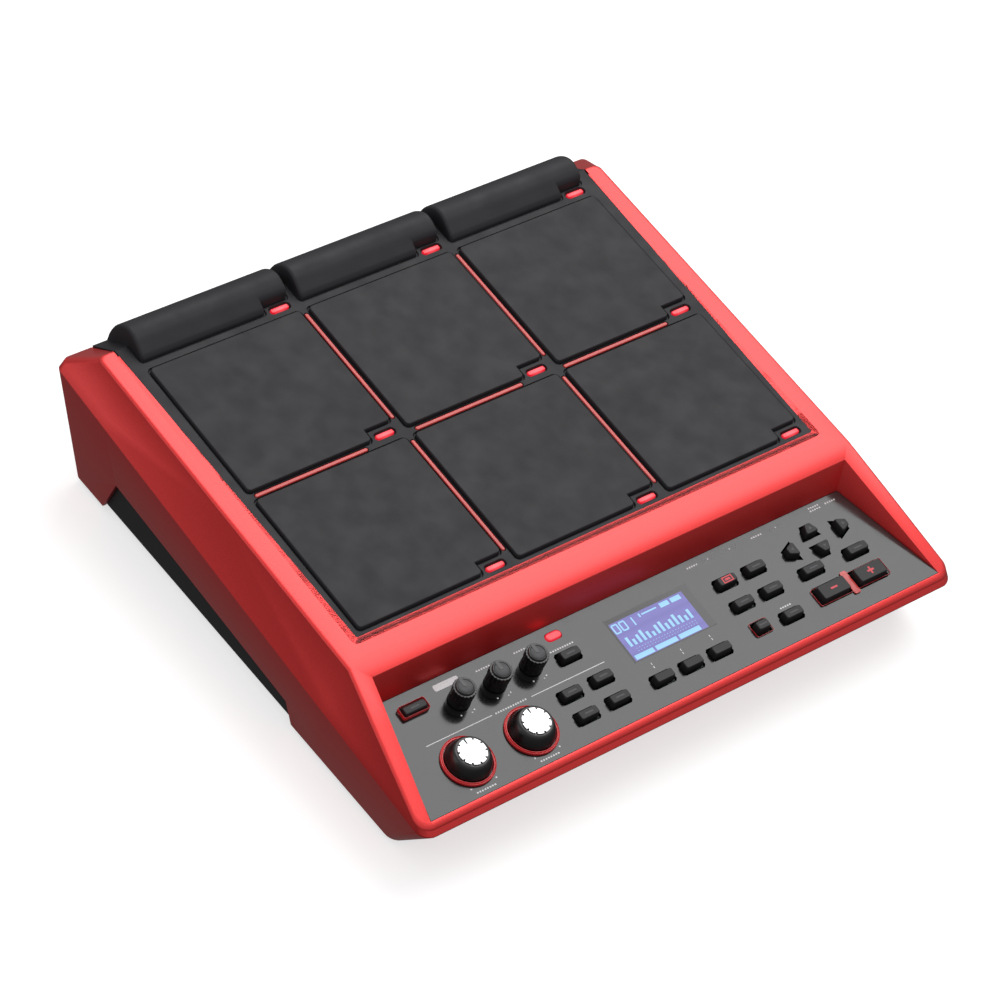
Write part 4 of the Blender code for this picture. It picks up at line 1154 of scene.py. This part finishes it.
def digit(bm, glyph, x, y, wide, tall, thick, level, paint):
    """A number made of plain bars, lit by which of seven are named in glyph."""
    half = tall / 2
    bars = {
        "a": plate(wide, thick, (x, y + half)), "g": plate(wide, thick, (x, y)),
        "d": plate(wide, thick, (x, y - half)),
        "b": plate(thick, half, (x + wide / 2, y + half / 2)),
        "c": plate(thick, half, (x + wide / 2, y - half / 2)),
        "f": plate(thick, half, (x - wide / 2, y + half / 2)),
        "e": plate(thick, half, (x - wide / 2, y - half / 2)),
    }
    for i, bar in enumerate(glyph):
        mark(bm, bars[bar], level, paint, 0.03 + 0.002 * i)


def display():
    """The clear window with its printed border, and the lit picture: numbers, bars and boxes."""
    bm = bmesh.new()
    outer = rounded(plate(WINDOW_X[1] - WINDOW_X[0], WINDOW_S[1] - WINDOW_S[0],
                          ((WINDOW_X[0] + WINDOW_X[1]) / 2, -(WINDOW_S[0] + WINDOW_S[1]) / 2)), 0.5, 3)
    domed(bm, outer, -1.5, -0.15, 0.0, 0.2, steps=2)
    piece("display_cover", bm, [WINDOW], place=PANEL, replaces=["display_window"])

    wide, tall = LIT_X[1] - LIT_X[0], LIT_S[1] - LIT_S[0]
    left, foot = LIT_X[0], -LIT_S[1]
    screen = bmesh.new()
    mark(screen, plate(wide, tall, (left + wide / 2, foot + tall / 2)), 0.0, 0, 0.03)
    piece("display_ground", screen, [SCREEN], place=PANEL)

    lit = bmesh.new()
    level = 0.05
    for i, glyph in enumerate(("abcdef", "abcdef", "bc")):
        digit(lit, glyph, left + 2.6 + 5.0 * i, foot + tall - 3.9, 3.3, 5.2, 0.85, level, 0)
    for x0, x1, y0, y1 in ((33.5, 39.5, 21.0, 23.8), (41.0, 47.6, 21.0, 23.8), (1.0, 13.5, 0.4, 3.2),
                           (15.0, 29.5, 0.4, 3.2), (31.0, 45.5, 0.4, 3.2), (19.0, 20.0, 21.4, 23.6),
                           (21.0, 31.0, 22.0, 22.9)):
        mark(lit, [(left + a, foot + b) for a, b in ((x0, y0), (x1, y0), (x1, y1), (x0, y1))], level, 0)
    heights = (6.0, 3.6, 5.1, 6.6, 4.2, 2.8, 5.6, 6.3, 3.9, 5.0, 6.6, 4.6, 3.2, 5.8)
    for i, high in enumerate(heights):
        x0 = left + 3.0 + 3.2 * i
        mark(lit, [(x0, foot + 8.4), (x0 + 1.7, foot + 8.4), (x0 + 1.7, foot + 8.4 + high),
                   (x0, foot + 8.4 + high)], level, 0)
    piece("display_segments", lit, [SEGMENT], place=PANEL)

    cell = bmesh.new()
    block(cell, (-0.2, 0.2), (-0.2, 0.2), (-0.1, 0.06))
    cells = repeated(ROWS, cell, {"Columns": 22, "Rows": 2, "Width": 40.0, "Height": 1.7, "Finish": SEGMENT})
    dots = bmesh.new()
    dots.from_mesh(cells)
    bmesh.ops.translate(dots, vec=(left + 25.5, foot + 5.6, 0.02), verts=dots.verts)
    piece("display_meter", dots, [SEGMENT], place=PANEL)

    lamp = bmesh.new()
    domed(lamp, stadium(10.0, 5.0), -2.5, 0.2, 0.7, 1.2, steps=5)
    remember_place(lamp)
    piece("click_lamp_lens", lamp, [CLICK_LENS], place=PANEL @ Matrix.Translation((-49.1, -6.8, 0)),
          replaces=["click_lamp"])


def printed_marks():
    """White and grey printing on the panel: lines, dots and plain labels."""
    bm = bmesh.new()

    def line(x0, x1, s, thick=0.5, paint=0):
        mark(bm, [(x0, -s - thick / 2), (x1, -s - thick / 2), (x1, -s + thick / 2), (x0, -s + thick / 2)],
             0.0, paint)

    line(-150.2, -108.0, 31.9, 0.45)
    line(-82.4, -33.9, 31.9, 0.45)
    for x in (-11.4, 8.6, 28.6):
        for s in (44.2, 46.4):
            mark(bm, plate(0.5, 1.3, (x, -s)), 0.0, 0)
    mark(bm, rounded(plate(15.0, 3.0, (-118.4, -5.6)), 0.6, 3), 0.0, 0)
    for x, s, wide in LABELS:
        for k in range(int(wide / 1.6)):
            mark(bm, plate(1.0, 0.9, (x - wide / 2 + 1.6 * k + 0.8, -s)), 0.0, 0)
    for x, s in CONTROL_KNOBS.values():
        for dx, dy in ((-8, -14), (8, -14)):
            mark(bm, circle(0.5, 12, (x + dx, -s + dy)), 0.0, 0)
    for x, s in VOLUME_KNOBS.values():
        for dx in (-4.2, 4.2):
            mark(bm, circle(0.5, 12, (x + dx, -s - 8.0)), 0.0, 0)
        mark(bm, circle(0.4, 12, (x + 2.2, -s - 9.0)), 0.0, 0)
    for x in (55.6, 62.5, 70.6, 78.0, 103.9, 111.0):
        for k in range(16):
            a, b = (math.tau * (k + e) / 16 for e in (0.0, 1.0))
            mark(bm, [(x + r * math.cos(t), -4.4 + r * math.sin(t)) for r, t in
                      ((1.55, a), (1.55, b), (1.2, b), (1.2, a))], 0.0, 1)
        mark(bm, plate(0.5, 1.2, (x, -4.4)), 0.0, 1)
    for x in (59.0, 74.3, 107.4):
        mark(bm, circle(0.4, 10, (x, -4.4)), 0.0, 0)
    piece("panel_printing", bm, [WHITE_INK, GREY_INK], place=PANEL, crease=20)


# ---------------------------------------------------------------- rear fittings

def rear_fittings():
    """Nuts round the quarter-inch sockets."""
    nut = bmesh.new()
    lathe(nut, ((3.35, -0.3), (3.35, 0.9), (3.7, 1.2), (5.0, 1.2), (5.4, 0.8), (5.4, -0.3)), 24, closed=True)
    nuts = repeated(ROWS, nut, {"Columns": 8, "Rows": 1, "Width": JACK_X[-1] - JACK_X[0], "Height": 0.0,
                                "Finish": SOCKET})
    bm = bmesh.new()
    bm.from_mesh(nuts)
    bmesh.ops.translate(bm, vec=((JACK_X[0] + JACK_X[-1]) / 2, 0, 0), verts=bm.verts)
    place = Matrix.Translation((0, REAR_WALL_Y + 0.6, PORT_Z)) @ Matrix.Rotation(math.radians(-90), 4, "X")
    piece("socket_nuts", bm, [SOCKET], place=place)


def paint_carried_over():
    """Finishes for the solid pieces whose shapes are kept."""
    finishes = {
        "bottom_case": CASE, "control_panel": GREY, "sensor_foam": FOAM, "sensor_plate": STEEL,
        "display_module": CASE, "panel_board": BOARD, "main_board": BOARD, "jack_block": SOCKET,
        "data_sockets": SOCKET, "power_inlet": SOCKET, "power_button": BUTTON, "input_level_knob": KNOB,
        **{f"foot_{i}": FOOT for i in range(1, 5)},
    }
    for name, item in finishes.items():
        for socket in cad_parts[name].material_slots:
            socket.material = item


# ---------------------------------------------------------------- studio

FLOOR_GLOW = 0.62  # keeps the paper white under the unit's own shade
ROOM_STRENGTH = 0.8
SOFTBOXES = (  # name, place and width in metres, power in watts
    ("rear_softbox", (1.3, 0.75, 2.1), 2.2, 42.0),
    ("left_softbox", (-2.2, 0.9, 0.8), 1.4, 5.0),
)
FOCAL_LENGTH = 140.44  # both in millimetres
SENSOR_WIDTH = 36.0


def studio():
    bpy.ops.mesh.primitive_plane_add(size=8.0, location=(0, 0, 0))
    floor = bpy.context.object
    floor.name = "pale_floor"
    made, _, shader, _ = finish("matt_white_paper", 0.95, "C8C8C8")
    shader.inputs["Specular IOR Level"].default_value = 0.0
    shader.inputs["Emission Color"].default_value = (1, 1, 1, 1)
    shader.inputs["Emission Strength"].default_value = FLOOR_GLOW
    floor.data.materials.append(made)
    floor.visible_diffuse = False  # so that the white paper doesn't wash out the sides
    floor.visible_glossy = False

    # A white room, brightest overhead and dim below the horizon
    world = bpy.data.worlds.new("white_room")
    bpy.context.scene.world = world
    world.use_nodes = True
    tree = world.node_tree
    aim = add(tree, "ShaderNodeTexCoord").outputs["Generated"]
    height = add(tree, "ShaderNodeSeparateXYZ", {"Vector": aim}).outputs["Z"]
    share = add(tree, "ShaderNodeMapRange", {"Value": height, "From Min": -1.0, "From Max": 1.0})
    sky = add(tree, "ShaderNodeValToRGB", {"Fac": share.outputs["Result"]})
    ramp = sky.color_ramp
    ramp.elements[0].position, ramp.elements[1].position = 0.3, 0.95
    for element, level in ((ramp.elements[0], 0.16), (ramp.elements[1], 0.8),
                           (ramp.elements.new(0.5), 0.3), (ramp.elements.new(0.75), 0.62)):
        element.color = (level, level, level, 1)
    tree.links.new(sky.outputs["Color"], tree.nodes["Background"].inputs["Color"])
    tree.nodes["Background"].inputs["Strength"].default_value = ROOM_STRENGTH

    for name, at, size, power in SOFTBOXES:
        data = bpy.data.lights.new(name, "AREA")
        data.size = size
        data.energy = power
        lamp = bpy.data.objects.new(name, data)
        lamp.location = at
        lamp.rotation_euler = (-Vector(at)).to_track_quat("-Z", "Y").to_euler()
        bpy.context.scene.collection.objects.link(lamp)

    lens = bpy.data.cameras.new("camera")
    lens.lens = FOCAL_LENGTH
    lens.sensor_width = SENSOR_WIDTH
    lens.clip_end = 20.0
    camera = bpy.data.objects.new("camera", lens)
    right = Vector((0.77310977, -0.60500746, 0.19043964))
    up = Vector((0.33973291, 0.64853867, 0.68116014))
    back = -Vector((0.53561445, 0.46191292, -0.70693254))
    turn = Matrix((right, up, back)).transposed().to_4x4()
    camera.matrix_world = Matrix.Translation((-1.115486, -0.958635, 1.500572)) @ turn
    bpy.context.scene.collection.objects.link(camera)
    bpy.context.scene.camera = camera
    bpy.context.scene.view_settings.view_transform = "Standard"


red_cover()
rubber_sheet()
accent_strips()
lamps()
keycaps()
knobs()
frames()
display()
printed_marks()
rear_fittings()
paint_carried_over()
studio()
